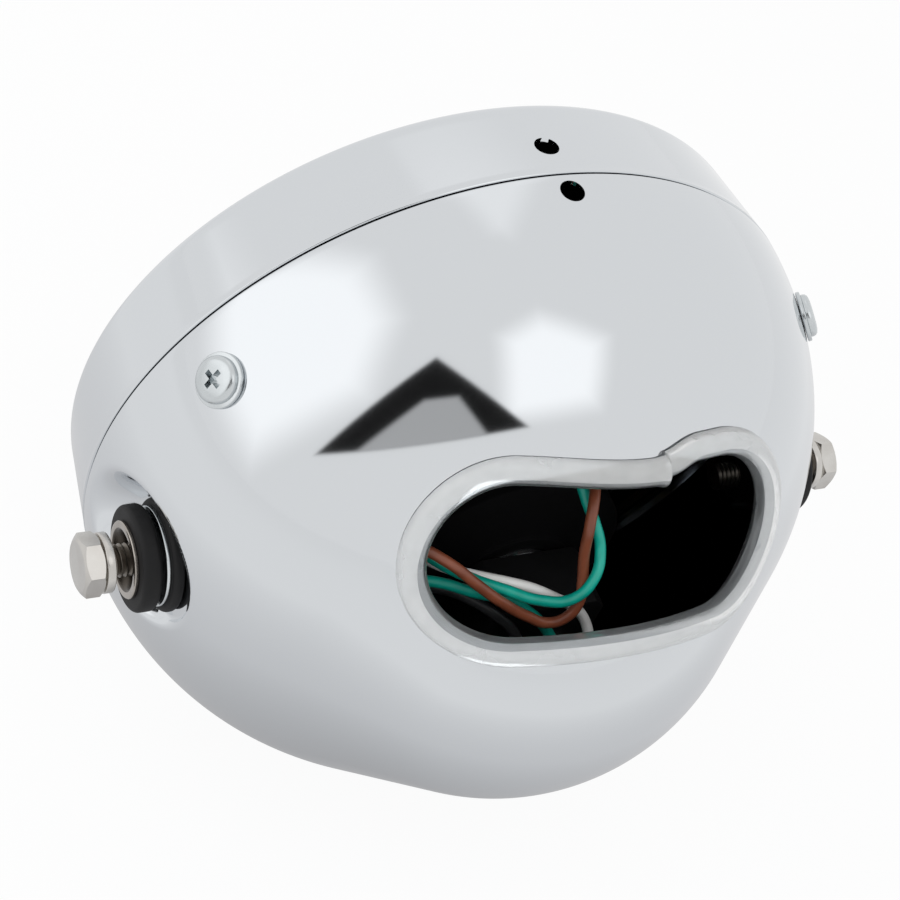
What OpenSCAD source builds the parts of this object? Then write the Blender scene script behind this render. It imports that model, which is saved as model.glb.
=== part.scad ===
// Round motorcycle headlight: a pressed bucket with a wiring opening in its back,
// the lamp unit clipped into a rim, and a rubber-mounted bolt on each side.
// Millimetres. The lens looks along -Y, the side bolts lie along X and Z is up.
// The origin is the middle of the bolt axis. Left is +X, as on the motorcycle.

/* [Bucket] */
// Outer radius of the bucket at its seam with the rim
bucket_r = 92; // [90:0.5:96]
// Thickness of the bucket's pressed steel
wall = 1.2; // [0.8:0.1:1.6]
// Distance from the bolt axis forward to the seam
seam_to_bolts = 24.9; // [23:0.1:27]
// Radius of the shoulder's curve in side view
shoulder_r = 80; // [77:1:84]
// Slope of the flank behind the shoulder, in degrees from the lamp's axis
flank_angle = 49.5; // [48:0.5:51]
// Radius of the rounded nose
nose_r = 62; // [58:1:66]
// Width of the edge that is curled inward at the bucket's mouth
curl_w = 3; // [2:0.5:4]

/* [Side pockets] */
// Depth of a pocket's floor inside the bucket's largest radius
pocket_depth = 11.5; // [10.5:0.1:13]
// Radius of a pocket's flat floor
pocket_r = 15; // [14:0.1:16]
// Flare of a pocket's wall, in degrees from the bolt axis
pocket_flare = 25; // [15:1:35]

/* [Rear opening] */
// Distance from the shoulder's end back to the opening's middle, along the flank
opening_back = 18; // [14:0.5:20]
// Radius of the opening's round ends, in the metal
opening_end_r = 19; // [16:0.5:20]
// Half the distance between the centres of the round ends
opening_half = 24.8; // [20:0.1:28]
// Thickness of the edge trim's web inside the opening
trim_web = 1.5; // [1:0.1:2]
// Width of the edge trim's legs over the metal
trim_leg = 5.2; // [4:0.1:6]
// Height of the edge trim above the bucket's surface
trim_proud = 2.8; // [2:0.1:3.5]
// Distance that the trim's two ends stand off the metal's edge at their joint
trim_lift = 2.6; // [0:0.1:3]
// Distance of the trim's joint from the middle of the upper edge, to the right
trim_joint = 9.5; // [4:0.5:16]

/* [Rim] */
// Depth of the rim from the seam to its front
rim_depth = 25.4; // [24:0.1:28]
// Thickness of the rim's steel
rim_t = 1; // [0.8:0.1:1.2]
// Taper of the rim's skirt, in degrees
rim_taper = 7.6; // [6:0.1:9]
// Outer radius of the round between the skirt and the front
rim_round = 4; // [3:0.5:5]
// Width of the rim's front, from the bucket's largest radius in to the front opening
rim_front_w = 10; // [9:0.5:12]
// Depth of the edge that turns back inside the front opening
rim_return = 3.5; // [3:0.1:5]
// Width of the rim's rear lip, which turns inward at the seam
rim_lip = 5.6; // [4.5:0.1:6]
// Width of the seam between rim and bucket
seam_gap = 0.4; // [0.2:0.1:0.8]

/* [Lamp unit] */
// Gap between the lamp unit's edge and the bucket's largest radius
unit_gap = 5.6; // [5:0.1:6.5]
// Thickness of the rubber between rim and lens
gasket_t = 1.4; // [1:0.1:2]
// Thickness of the lens glass
lens_t = 3.5; // [3:0.1:4.5]
// Thickness of the lens flange
lens_flange_t = 3; // [2.5:0.1:4]
// Height of the lens dome in front of its flange
lens_dome = 22; // [16:0.5:26]
// Width of the lens flange round the dome
lens_flange_w = 5.9; // [4.9:0.1:7.4]
// Thickness of the sealant between lens and reflector
seal_t = 0.6; // [0.4:0.1:1]
// Focal length of the reflector's parabola
focal = 31; // [30:0.5:33]
// Thickness of the reflector's steel
reflector_t = 0.9; // [0.7:0.1:1.2]
// Width of the reflector's flange round its bowl
reflector_flange_w = 6.4; // [5.4:0.1:8.4]
// Inner radius of the reflector's neck, which takes the bulb
neck_r = 19.2; // [18.5:0.1:20]
// Length of the reflector's neck behind the bowl
neck_len = 5.3; // [4:0.1:7]
// Outer radius of the collar at the neck's end
collar_r = 24.5; // [23.5:0.1:26]
// Distance of the parking light's hole above the lamp's axis
pilot_up = 42; // [38:0.5:46]
// Distance of the parking light's hole to the right of the lamp's axis
pilot_side = 4; // [0:0.5:8]
// Radius of the parking light's hole
pilot_r = 7; // [6:0.1:8]

/* [Bulb and plug] */
// Radius of the bulb's mounting flange
bulb_flange_r = 21.5; // [20.5:0.1:22.5]
// Thickness of the bulb's mounting flange
bulb_flange_t = 1; // [0.8:0.1:1.5]
// Radius of the bulb's base behind its flange
base_r = 11; // [10:0.1:12]
// Length of the bulb's base behind its flange
base_len = 8; // [7:0.1:10]
// Radius of the bulb's glass
glass_r = 8.5; // [7.5:0.1:9]
// Length of the bulb's glass in front of its base
glass_len = 30; // [26:0.5:34]
// Width of a blade terminal
blade_w = 7.8; // [6:0.1:8]
// Length of a blade terminal
blade_len = 8; // [7:0.1:9]
// Width of the plug
plug_w = 30; // [28:0.5:34]
// Height of the plug
plug_h = 24; // [23:0.5:28]
// Length of the plug
plug_len = 15.8; // [14:0.1:18]
// Thickness of the rubber boot
boot_t = 2; // [1.5:0.1:2.5]

/* [Side fixings] */
// Diameter of the side bolts
bolt_d = 8; // [7:0.5:8.2]
// Length of a side bolt under its head
bolt_len = 30; // [28:1:35]
// Width across the flats of the bolts' heads and the nuts
hex_af = 13; // [12:0.1:14]
// Height of a bolt's head
head_h = 5; // [4.5:0.1:6]
// Height of the nut that is welded inside the bucket
weld_nut_h = 6.5; // [5:0.1:8]
// Outer radius of the spring washer
lock_r = 7; // [6.6:0.1:7.6]
// Thickness of the spring washer
lock_t = 2; // [1.5:0.1:2.5]
// Length of bare thread between the spring washer and the sleeve's flange
slack = 3.5; // [2:0.1:5]
// Radius of the sleeve's flange
sleeve_flange_r = 9; // [8.5:0.1:10]
// Thickness of the sleeve's flange
sleeve_flange_t = 1; // [0.8:0.1:1.5]
// Outer radius of the sleeve's tube
sleeve_r = 6.4; // [6.2:0.1:7]
// Inner radius of the sleeve
sleeve_bore_r = 5.3; // [4.6:0.1:5.5]
// Outer radius of the outer rubber grommet
grommet_r = 12.4; // [11.5:0.1:13]
// Thickness of the outer grommet's collar
grommet_t = 4.5; // [3.5:0.1:6]
// Radius of the outer grommet's spigot, which a fork bracket's hole goes round
spigot_r = 9; // [8.5:0.1:10]
// Length of the outer grommet's spigot
spigot_len = 1.1; // [1:0.1:2]
// Outer radius of the plate washer
plate_r = 11.6; // [11:0.1:12.5]
// Thickness of the plate washer
plate_t = 1; // [0.8:0.1:1.5]
// Outer radius of the inner rubber pad
pad_r = 13.2; // [12.5:0.1:13.8]
// Thickness of the inner rubber pad
pad_t = 2.9; // [2:0.1:4]
// Radius of the rounds on the rubber pieces
rubber_round = 1.2; // [0.5:0.1:1.4]

/* [Rim screws and brackets] */
// Angle of the two rim screws above the bolt axis, seen from the front
screw_angle = 33.7; // [30:0.1:38]
// Distance of the rim screws behind the seam
screw_back = 15; // [13:0.5:17]
// Diameter of the rim screws
screw_d = 5; // [4:0.1:6]
// Length of a rim screw under its head
screw_len = 10; // [9:0.5:12]
// Radius of a rim screw's head
screw_head_r = 5.3; // [5:0.1:5.8]
// Height of a rim screw's head
screw_head_h = 2.2; // [1.8:0.1:3]
// Radius of the washer under a rim screw
screw_washer_r = 6.2; // [6:0.1:7]
// Thickness of the washer under a rim screw
screw_washer_t = 1; // [0.8:0.1:1.4]
// Width of the rim's brackets and hook
bracket_w = 14; // [12:0.5:16]
// Thickness of the rim's brackets and hook
bracket_t = 1.4; // [1:0.1:1.6]
// Width across the flats of a rim screw's nut
screw_nut_af = 8; // [7.5:0.1:10]
// Height of a rim screw's nut
screw_nut_h = 4; // [3:0.1:5]
// Radius of the wire that the lamp unit's clips are bent from
clip_wire_r = 1; // [0.8:0.1:1.2]
// Number of clips that hold the lamp unit in the rim
clip_count = 6; // [4:2:8]

/* [Small holes] */
// Radius of the two small holes in rim and bucket
small_hole_r = 2.9; // [2:0.1:3.5]
// Distance of the bucket's small hole behind the seam
bucket_hole_back = 5.1; // [4.5:0.1:8]
// Distance of the rim's small hole in front of the seam
rim_hole_front = 9.3; // [7:0.1:12]

/* [Wires] */
// Diameter of a wire over its insulation
wire_d = 2.6; // [2:0.1:3]
// Length of a bullet terminal
bullet_len = 13; // [11:0.5:16]
// Radius of a bullet terminal
bullet_r = 2; // [1.6:0.1:2.2]
// Thickness of the sleeve over a bullet terminal
terminal_sleeve_t = 0.8; // [0.5:0.1:1]

/* [Hidden] */
$fn = 96;

// Small allowances: sliding fit, thread clearance, and the overlap that joins or cuts cleanly
fit = 0.1;
thread_fit = 0.05;
over = 1;

// The bucket's side view: shoulder curve, straight flank, round nose
seam_y = -seam_to_bolts;
bucket_front_y = seam_y + seam_gap / 2;
shoulder_c = bucket_r - shoulder_r;
shoulder_end_y = seam_y + shoulder_r * sin(flank_angle);
shoulder_end_r = shoulder_c + shoulder_r * cos(flank_angle);
flank_offset = shoulder_end_y * sin(flank_angle) + shoulder_end_r * cos(flank_angle);
nose_y = (flank_offset - nose_r) / sin(flank_angle);
nose_start_y = nose_y + nose_r * sin(flank_angle);
nose_start_r = nose_r * cos(flank_angle);

// The rim's side view
rim_rear_y = seam_y - seam_gap / 2;
rim_front_y = rim_rear_y - rim_depth;
rim_lip_y = rim_rear_y - rim_t;
rim_opening_r = bucket_r - rim_front_w;
rim_lip_r = bucket_r - rim_lip;
rim_round_y = rim_front_y + rim_round;
rim_round_c = bucket_r + (sin(rim_taper) * (rim_round_y - rim_rear_y) - rim_round) / cos(rim_taper);
rim_curl = 2 * rim_t;

// The lamp unit, from the rim's front backward. Its radii follow the bucket's.
unit_r = bucket_r - unit_gap;
bowl_r = unit_r - reflector_flange_w;
lens_dome_r = unit_r - lens_flange_w;
gasket_y = rim_front_y + rim_return;
lens_y = gasket_y + gasket_t;
lens_back_y = lens_y + lens_flange_t;
dome_r = (lens_dome_r * lens_dome_r + lens_dome * lens_dome) / (2 * lens_dome);
dome_c = lens_y - lens_dome + dome_r;
reflector_y = lens_back_y + seal_t;
flange_back_y = reflector_y + reflector_t;
vertex_y = reflector_y + bowl_r * bowl_r / (4 * focal);
neck_start_y = vertex_y - neck_r * neck_r / (4 * focal);
collar_y = neck_start_y + neck_len;
bowl_steps = 14;

// The bulb, its clip, boot and plug
bulb_flange_y = collar_y + bulb_flange_t;
base_end_y = bulb_flange_y + base_len;
socket_r = glass_r + 1.2;
socket_len = 9;
glass_y = collar_y - socket_len;
blade_t = 0.8;
blade_off = 8.4;
bulb_clip_r = 0.8;
bulb_clip_ring = 14.5;
bulb_clip_y = bulb_flange_y + bulb_clip_r;
plug_y = base_end_y + 0.5;
plug_end_y = plug_y + plug_len;
boot_mouth_r = collar_r + 3.5;
boot_mouth_y = bowl_back_y(boot_mouth_r) + fit;
boot_top_y = base_end_y - 1;
pilot_boss = 3;
pilot_seat_y = bowl_back_y(pilot_up - pilot_r) + pilot_boss;
pilot_in = 10;
pilot_out = 9;
pilot_collar_w = 2;
pilot_collar_t = 3;
pilot_wire_y = pilot_seat_y + pilot_out;

// The side fixings, as distances from the lamp's middle along the bolt axis
floor_x = bucket_r - pocket_depth;
plate_x = floor_x + pad_t;
spigot_x = plate_x + plate_t;
grommet_x = spigot_x + spigot_len;
sleeve_flange_x = grommet_x + grommet_t;
bare_x = sleeve_flange_x + sleeve_flange_t;
lock_x = bare_x + slack;
head_x = lock_x + lock_t;
bolt_hole_r = bolt_d / 2 + 0.3;

// The rim's brackets
plate_drop = wall + 0.8;
screw_phi = asin(screw_back / shoulder_r);

// The rear opening's middle and its own axes: across, down the flank, and outward
opening_mid = [
    0,
    shoulder_end_y + opening_back * cos(flank_angle),
    shoulder_end_r - opening_back * sin(flank_angle)
];
across = [1, 0, 0];
down = [0, cos(flank_angle), -sin(flank_angle)];
outward = [0, sin(flank_angle), cos(flank_angle)];

// The edge trim's section and path
trim_steps = 84;
trim_sides = 16;
trim_slot = wall / 2 + 0.4;
trim_slot_end = 0.25;
trim_fade = 22;
trim_gap = 0.3;

// The wires' ends, each from its exit to its terminal, and their routes between
wire_r = wire_d / 2;
wire_sides = 8;
wire_lead = 1.3;
pilot_exit = [-pilot_side, pilot_wire_y, pilot_up];
brown_exit = pilot_exit + [-2.5, 0, 0];
green_parking_exit = pilot_exit + [2.5, 0, 0];
white_exit = [-8, plug_end_y, -5];
green_main_exit = [0, plug_end_y, -5];
black_exit = [8, plug_end_y, -5];

brown_route = [
    [-5.9, 20.8, 44.1], [-2.9, 28, 44.7], [-0.8, 33.6, 40.6], [-0.9, 36.5, 33], [-1.4, 39.3, 27.4], [-0.6, 42.7, 23.4],
    [2, 44.2, 19.6], [6, 44, 18], [11.5, 42.6, 20], [18, 41, 24.2], [25, 38, 29], [32, 34.5, 34], [39, 30, 36],
    [46, 25, 34], [52, 22, 28], [56, 21, 21], [58, 21, 14]
];
green_parking_route = [
    [-1, 20.5, 43.8], [-1.4, 23.9, 43.4], [-2.4, 27.8, 40.8], [-3.5, 32.3, 38.4], [-4.9, 36.4, 33.6], [-2.6, 41.3, 29.9],
    [2.4, 43.4, 26], [10, 42, 25.3], [17, 37.7, 25], [23, 34, 25], [29, 29, 25], [35, 24, 27],
    [42, 19, 30], [49, 15, 29], [54, 12.5, 24], [57, 12, 17]
];
white_route = [
    [-8, 41.5, -4.2], [-8.3, 43.7, -2], [-8.8, 44.5, 1], [-9, 43.8, 6], [-7, 41.2, 11.5], [-3, 40, 16], [3, 39, 20],
    [9, 37, 22.5], [15, 34.5, 23], [21, 31.5, 22.5], [27, 28, 22], [33, 23, 22], [39, 17, 21],
    [44, 13, 18], [48, 11, 12]
];
green_main_route = [
    [0, 41.5, -4.2], [0, 43.7, -2], [0, 44.5, 1], [0, 43.5, 5.5], [3, 41, 10.5], [8, 38.5, 15], [15, 36.5, 19],
    [22, 35, 21], [29, 32, 22], [36, 29, 21.5], [42, 25, 20], [46.5, 22, 17], [49, 20, 12]
];
black_route = [
    [8, 41.5, -4.2], [8.2, 43.7, -2], [8.5, 44.5, 1], [9, 43.5, 5.5], [11, 41, 10.5], [16, 38.4, 15], [23, 33, 17],
    [30, 30, 18], [36, 27, 16.5], [40, 23.5, 12], [41, 21, 6]
];

terminal_drop = 7;
brown_end = [58, 21, 5];
green_parking_end = [57, 12, 5];
white_end = [48, 11, 5];
green_main_end = [49, 20, 5];
black_end = [41, 21, -2];
wire_ends = [brown_end, green_parking_end, white_end, green_main_end, black_end];

// Height of the reflector's back at a radius
function bowl_back_y(r) = vertex_y + reflector_t - r * r / (4 * focal);

// Points of an arc about a centre, from one angle to another
function arc(centre, r, from, to, steps) = [
    for (i = [0 : steps])
        let (a = from + (to - from) * i / steps)
            [centre[0] + r * cos(a), centre[1] + r * sin(a)]
];

// Radius of the bucket's surface at y, moved inward by an inset
function bucket_r_at(y, inset) =
    y < shoulder_end_y - inset * sin(flank_angle)
        ? shoulder_c + sqrt(pow(shoulder_r - inset, 2) - pow(y - seam_y, 2))
        : y < nose_start_y - inset * sin(flank_angle)
            ? (flank_offset - inset - y * sin(flank_angle)) / cos(flank_angle)
            : sqrt(max(0, pow(nose_r - inset, 2) - pow(y - nose_y, 2)));

// Slope of the bucket's surface at y: radius lost for each millimetre backward
function bucket_slope_at(y, inset) =
    y < shoulder_end_y - inset * sin(flank_angle)
        ? (y - seam_y) / sqrt(pow(shoulder_r - inset, 2) - pow(y - seam_y, 2))
        : y < nose_start_y - inset * sin(flank_angle)
            ? tan(flank_angle)
            : (y - nose_y) / sqrt(pow(nose_r - inset, 2) - pow(y - nose_y, 2));

function unit(v) = v / norm(v);

// Outward normal of the bucket's surface at a point on it
function surface_normal(p, inset) =
    let (r = norm([p[0], p[2]]))
        unit([p[0] / r, bucket_slope_at(p[1], inset), p[2] / r]);

// How far a point lies outside the bucket's surface, measured from the lamp's axis
function above_surface(p, inset) = norm([p[0], p[2]]) - bucket_r_at(p[1], inset);

// Drops a point along the opening's own axis onto the surface, by halving the gap
function drop_to_surface(p, inset, low, high, turns) =
    let (mid = (low + high) / 2)
        turns == 0
            ? p + mid * outward
            : above_surface(p + mid * outward, inset) > 0
                ? drop_to_surface(p, inset, low, mid, turns - 1)
                : drop_to_surface(p, inset, mid, high, turns - 1);

// Rings of points joined into one closed tube
function tube_faces(count, sides) = concat(
    [[for (j = [sides - 1 : -1 : 0]) j]],
    [[for (j = [0 : sides - 1]) (count - 1) * sides + j]],
    [
        for (i = [0 : count - 2], j = [0 : sides - 1])
            [i * sides + j, i * sides + (j + 1) % sides, (i + 1) * sides + (j + 1) % sides]
    ],
    [
        for (i = [0 : count - 2], j = [0 : sides - 1])
            [i * sides + j, (i + 1) * sides + (j + 1) % sides, (i + 1) * sides + j]
    ]
);

// Directions along a line of points, and normals carried along it without twist
function tangents(points) = [
    for (i = [0 : len(points) - 1])
        unit(points[min(i + 1, len(points) - 1)] - points[max(i - 1, 0)])
];
function square_to(v, t) = unit(v - (v * t) * t);
function carried(v, ts, i, found) =
    i == len(ts)
        ? found
        : let (n = square_to(v, ts[i])) carried(n, ts, i + 1, concat(found, [n]));

// Turns what it holds about the lamp's axis, with local X pointing outward
module around(angle) {
    rotate([0, -angle, 0]) children();
}

// A flat outline in radius and y, made into a plate of a width at an angle round the lamp
module strip(angle, width) {
    around(angle) linear_extrude(height = width, center = true) children();
}

// Local Z points out of the bucket's shoulder at an angle, some way behind the seam
module on_shoulder(angle, back) {
    around(angle)
        translate([shoulder_c, seam_y, 0])
            rotate([0, 0, asin(back / shoulder_r)])
                translate([shoulder_r, 0, 0])
                    rotate([0, 90, 0]) children();
}

// A profile in radius and y, turned about the lamp's axis
module turned() {
    rotate([-90, 0, 0]) rotate_extrude() children();
}

// Local Z becomes the bolt axis, outward on the given side
module on_side(side) {
    rotate([0, 0, side > 0 ? 0 : 180]) rotate([0, 90, 0]) children();
}

// A ring between two radii and two heights
module ring(inner, outer, from, to) {
    translate([0, 0, from]) difference() {
        cylinder(r = outer, h = to - from);
        translate([0, 0, -over]) cylinder(r = inner, h = to - from + 2 * over);
    }
}

// The same ring with its two outer corners rounded
module soft_ring(inner, outer, from, to, round) {
    rotate_extrude() {
        translate([inner, from]) square([outer - round - inner, to - from]);
        translate([inner, from + round]) square([outer - inner, to - from - 2 * round]);
        translate([outer - round, from + round]) circle(r = round);
        translate([outer - round, to - round]) circle(r = round);
    }
}

// A hexagonal bar across flats
module hex_bar(af, h) {
    cylinder(r = af / sqrt(3), h = h, $fn = 6);
}

// A round wire swept along a line of points
module sweep(points, r, sides) {
    ts = tangents(points);
    ns = carried([0.2, 0.1, 1], ts, 0, []);
    rings = [
        for (i = [0 : len(points) - 1], j = [0 : sides - 1])
            let (a = 360 * j / sides)
                points[i] + r * (cos(a) * ns[i] + sin(a) * cross(ts[i], ns[i]))
    ];
    polyhedron(rings, tube_faces(len(points), sides), convexity = 8);
}

// The solid inside the bucket's surface, moved inward by an inset
module bucket_solid(inset, front_y) {
    r = shoulder_r - inset;
    start = asin((bucket_front_y - seam_y) / r);
    straight = front_y < bucket_front_y ? [[shoulder_c + r * cos(start), front_y]] : [];
    turned() polygon(concat(
        [[0, front_y]],
        straight,
        arc([shoulder_c, seam_y], r, start, flank_angle, 24),
        arc([0, nose_y], nose_r - inset, flank_angle, 90, 16)
    ));
}

// The space of a side pocket, grown by an inset for the far face of its wall
module pocket_space(inset) {
    rise = 2 * pocket_depth;
    corner_r = pocket_r + inset / cos(pocket_flare) - inset * tan(pocket_flare);
    corner_x = floor_x - inset;
    rotate_extrude()
        polygon([
            [0, corner_x],
            [corner_r, corner_x],
            [corner_r + rise * tan(pocket_flare), corner_x + rise],
            [0, corner_x + rise]
        ]);
}

module bucket_skin(inset, front_y) {
    difference() {
        bucket_solid(inset, front_y);
        for (side = [-1, 1]) on_side(side) pocket_space(inset);
    }
}

// The punch that makes the rear opening: a slot with round ends
module opening_punch() {
    reach = opening_end_r;
    translate(opening_mid) rotate([-flank_angle, 0, 0]) translate([0, 0, -1.5 * reach])
        linear_extrude(height = 2 * reach) {
            square([2 * opening_half, 2 * opening_end_r], center = true);
            translate([opening_half, 0]) circle(r = opening_end_r);
            translate([-opening_half, 0]) circle(r = opening_end_r);
        }
}

module bucket() {
    curl_r = bucket_r - wall - curl_w;
    color("#d5d9dc") difference() {
        union() {
            difference() {
                bucket_skin(0, bucket_front_y);
                bucket_skin(wall, bucket_front_y - over);
            }
            turned() translate([curl_r, bucket_front_y]) square([curl_w + wall / 2, wall]);
        }
        opening_punch();
        for (side = [-1, 1]) on_side(side)
            translate([0, 0, floor_x - wall - over]) cylinder(r = bolt_hole_r, h = wall + 2 * over);
        for (angle = [screw_angle, 180 - screw_angle]) on_shoulder(angle, screw_back)
            translate([0, 0, -wall - over]) cylinder(r = screw_d / 2 + fit, h = wall + 2 * over);
        on_shoulder(90, bucket_hole_back)
            translate([0, 0, -wall - over]) cylinder(r = small_hole_r, h = wall + 2 * over);
    }
}

// Where a point of the slot's outline lies, some millimetres along it from the joint.
// It runs left along the upper edge, round the left end, back along the lower edge
// and round the right end.
slot_r = opening_end_r;
slot_end = PI * slot_r;
slot_len = 4 * opening_half + 2 * slot_end;
function slot_point(d) =
    let (
        first = opening_half + trim_joint,
        second = first + slot_end,
        third = second + 2 * opening_half,
        fourth = third + slot_end
    )
        d < first
            ? [-trim_joint + d, -slot_r, 0, -1]
            : d < second
                ? let (a = -90 + (d - first) / slot_r * 180 / PI)
                    [opening_half + slot_r * cos(a), slot_r * sin(a), cos(a), sin(a)]
                : d < third
                    ? [opening_half - (d - second), slot_r, 0, 1]
                    : d < fourth
                        ? let (a = 90 + (d - third) / slot_r * 180 / PI)
                            [-opening_half + slot_r * cos(a), slot_r * sin(a), cos(a), sin(a)]
                        : [-opening_half + (d - fourth), -slot_r, 0, -1];

// How far the trim stands off the metal's edge near its joint
function lift_at(d) =
    let (from_joint = min(d, slot_len - d))
        from_joint > trim_fade ? 0 : trim_lift * pow(cos(90 * from_joint / trim_fade), 2);

// A point of the trim's path on the middle of the metal's thickness
function trim_point(d) =
    let (
        s = slot_point(d),
        lift = lift_at(d),
        flat = opening_mid + (s[0] - s[2] * lift) * across + (s[1] - s[3] * lift) * down
    )
        drop_to_surface(flat, wall / 2, -2 * slot_r, slot_r, 26);

// The trim's section: an oval round the metal's edge with a slot for the metal.
// Its first number points away from the opening, its second out of the bucket.
trim_mid = (trim_leg - trim_web) / 2;
trim_half = (trim_leg + trim_web) / 2;
trim_high = trim_proud + wall / 2;
trim_low = trim_high * 0.8;
slot_turn = asin(trim_slot / trim_high);
trim_oval = [
    for (i = [0 : trim_sides])
        let (
            a = slot_turn + (360 - 2 * slot_turn) * i / trim_sides,
            h = sin(a) > 0 ? trim_high : trim_low
        )
            [trim_mid + trim_half * cos(a), h * sin(a)]
];

// The slot is deeper where the metal's edge is cut at a slant to its surface
function slot_depth(n, b) = trim_slot_end + wall / 2 * abs(outward * b) / (outward * n);
function trim_section(deep) = concat(trim_oval, [[-deep, -trim_slot], [-deep, trim_slot]]);

module opening_trim() {
    start = trim_gap / 2;
    path = [
        for (i = [0 : trim_steps])
            trim_point(start + (slot_len - 2 * start) * i / trim_steps)
    ];
    ts = tangents(path);
    rings = [
        for (i = [0 : trim_steps])
            let (
                n = square_to(surface_normal(path[i], wall / 2), ts[i]),
                b = cross(ts[i], n)
            )
                for (q = trim_section(slot_depth(n, b))) path[i] + q[0] * b + q[1] * n
    ];
    color("#e8eef0") polyhedron(rings, tube_faces(trim_steps + 1, len(trim_oval) + 2), convexity = 6);
}

// The rim: front return, round, tapered skirt and inward rear lip
module rim() {
    inner_round = rim_round - rim_t;
    inner_curl = rim_curl - rim_t;
    curl_c = [rim_opening_r + rim_curl, rim_front_y + rim_curl];
    round_c = [rim_round_c, rim_round_y];
    slope = [cos(rim_taper), -sin(rim_taper)];
    rear_in = rim_t / cos(rim_taper);
    color("#d5d9dc") difference() {
        union() {
            turned() polygon(concat(
                [[rim_opening_r, rim_front_y + rim_return]],
                arc(curl_c, rim_curl, 180, 270, 6),
                arc(round_c, rim_round, 270, 360 - rim_taper, 8),
                [[bucket_r, rim_rear_y], [bucket_r - rear_in, rim_rear_y]],
                arc(round_c, inner_round, 360 - rim_taper, 270, 8),
                arc(curl_c, inner_curl, 270, 180, 6),
                [[rim_opening_r + rim_t, rim_front_y + rim_return]]
            ));
            turned() translate([rim_lip_r, rim_lip_y]) square([rim_lip - rear_in / 2, rim_t]);
        }
        rim_hole_axis() translate([0, 0, -rim_t - over]) cylinder(r = small_hole_r, h = rim_t + 2 * over);
    }
}

// Local Z points out of the rim's skirt at its small hole
module rim_hole_axis() {
    along = rim_hole_front - seam_gap / 2;
    around(90)
        translate([bucket_r - along * tan(rim_taper), rim_rear_y - along, 0])
            rotate([0, 0, -rim_taper])
                rotate([0, 90, 0]) children();
}

// Soft ring between the rim's return and the lens flange
module rim_gasket() {
    color("#1b1b1b") turned()
        translate([rim_opening_r + 0.2, gasket_y]) square([unit_r - rim_opening_r - 0.2, gasket_t]);
}

// Domed glass with a flat flange
module lens() {
    color("#dfe9ee", 0.4) turned() difference() {
        union() {
            intersection() {
                translate([0, dome_c]) circle(r = dome_r, $fn = 180);
                translate([0, lens_y - lens_dome - over]) square([lens_dome_r, lens_dome + over]);
            }
            translate([0, lens_y]) square([unit_r, lens_flange_t]);
        }
        translate([0, dome_c]) circle(r = dome_r - lens_t, $fn = 180);
        translate([-dome_r, lens_y - lens_dome - over]) square([dome_r, 2 * dome_r]);
    }
}

module lens_seal() {
    seal_w = 4;
    color("#3a3a3a") turned()
        translate([unit_r - seal_w, lens_back_y]) square([seal_w, seal_t]);
}

// Points of the reflector's parabola from its edge to its neck, raised by a distance
function parabola(raise, r_end) = [
    for (i = [0 : bowl_steps])
        let (r = bowl_r + (r_end - bowl_r) * i / bowl_steps)
            [r, vertex_y + raise - r * r / (4 * focal)]
];

module reflector() {
    neck_out = neck_r + reflector_t;
    color("#c9ccd0") difference() {
        union() {
            turned() {
                polygon(concat(
                    [[0, reflector_y], [bowl_r, reflector_y]],
                    parabola(reflector_t, neck_out),
                    [[neck_out, collar_y], [0, collar_y]]
                ));
                translate([bowl_r - over, reflector_y]) square([unit_r - bowl_r + over, reflector_t]);
                translate([0, collar_y - reflector_t]) square([collar_r, reflector_t]);
            }
            pilot_axis() cylinder(r = pilot_r + reflector_t, h = pilot_seat_y - reflector_y);
        }
        turned() polygon(concat(
            [[0, reflector_y - over], [bowl_r, reflector_y - over]],
            parabola(0, neck_r),
            [[neck_r, collar_y + over], [0, collar_y + over]]
        ));
        pilot_axis() translate([0, 0, -over]) cylinder(r = pilot_r, h = pilot_seat_y - reflector_y + 2 * over);
    }
}

// Local Z runs backward along the parking light's hole, from the reflector's flange
module pilot_axis() {
    translate([-pilot_side, reflector_y, pilot_up]) rotate([-90, 0, 0]) children();
}

// Bent wire clips between the rim's rear lip and the reflector's flange.
// Each is a W: two feet under the lip, two valleys on the flange, and a raised middle.
module unit_clips() {
    half = 12;
    steps = 16;
    foot = [rim_lip_r + 2 * clip_wire_r, rim_lip_y - clip_wire_r];
    press = [unit_r - 2.2, flange_back_y + clip_wire_r];
    middle = (foot + press) / 2;
    points = [
        for (i = [0 : steps])
            let (
                t = half * (2 * i / steps - 1),
                w = (1 - cos(360 * t / half)) / 2,
                top = abs(t) > half / 2 ? foot : middle,
                p = w * press + (1 - w) * top
            )
                [p[0], p[1], t]
    ];
    color("#a9adb0") for (k = [0 : clip_count - 1]) around(k * 360 / clip_count)
        sweep(points, clip_wire_r, wire_sides);
}

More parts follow.
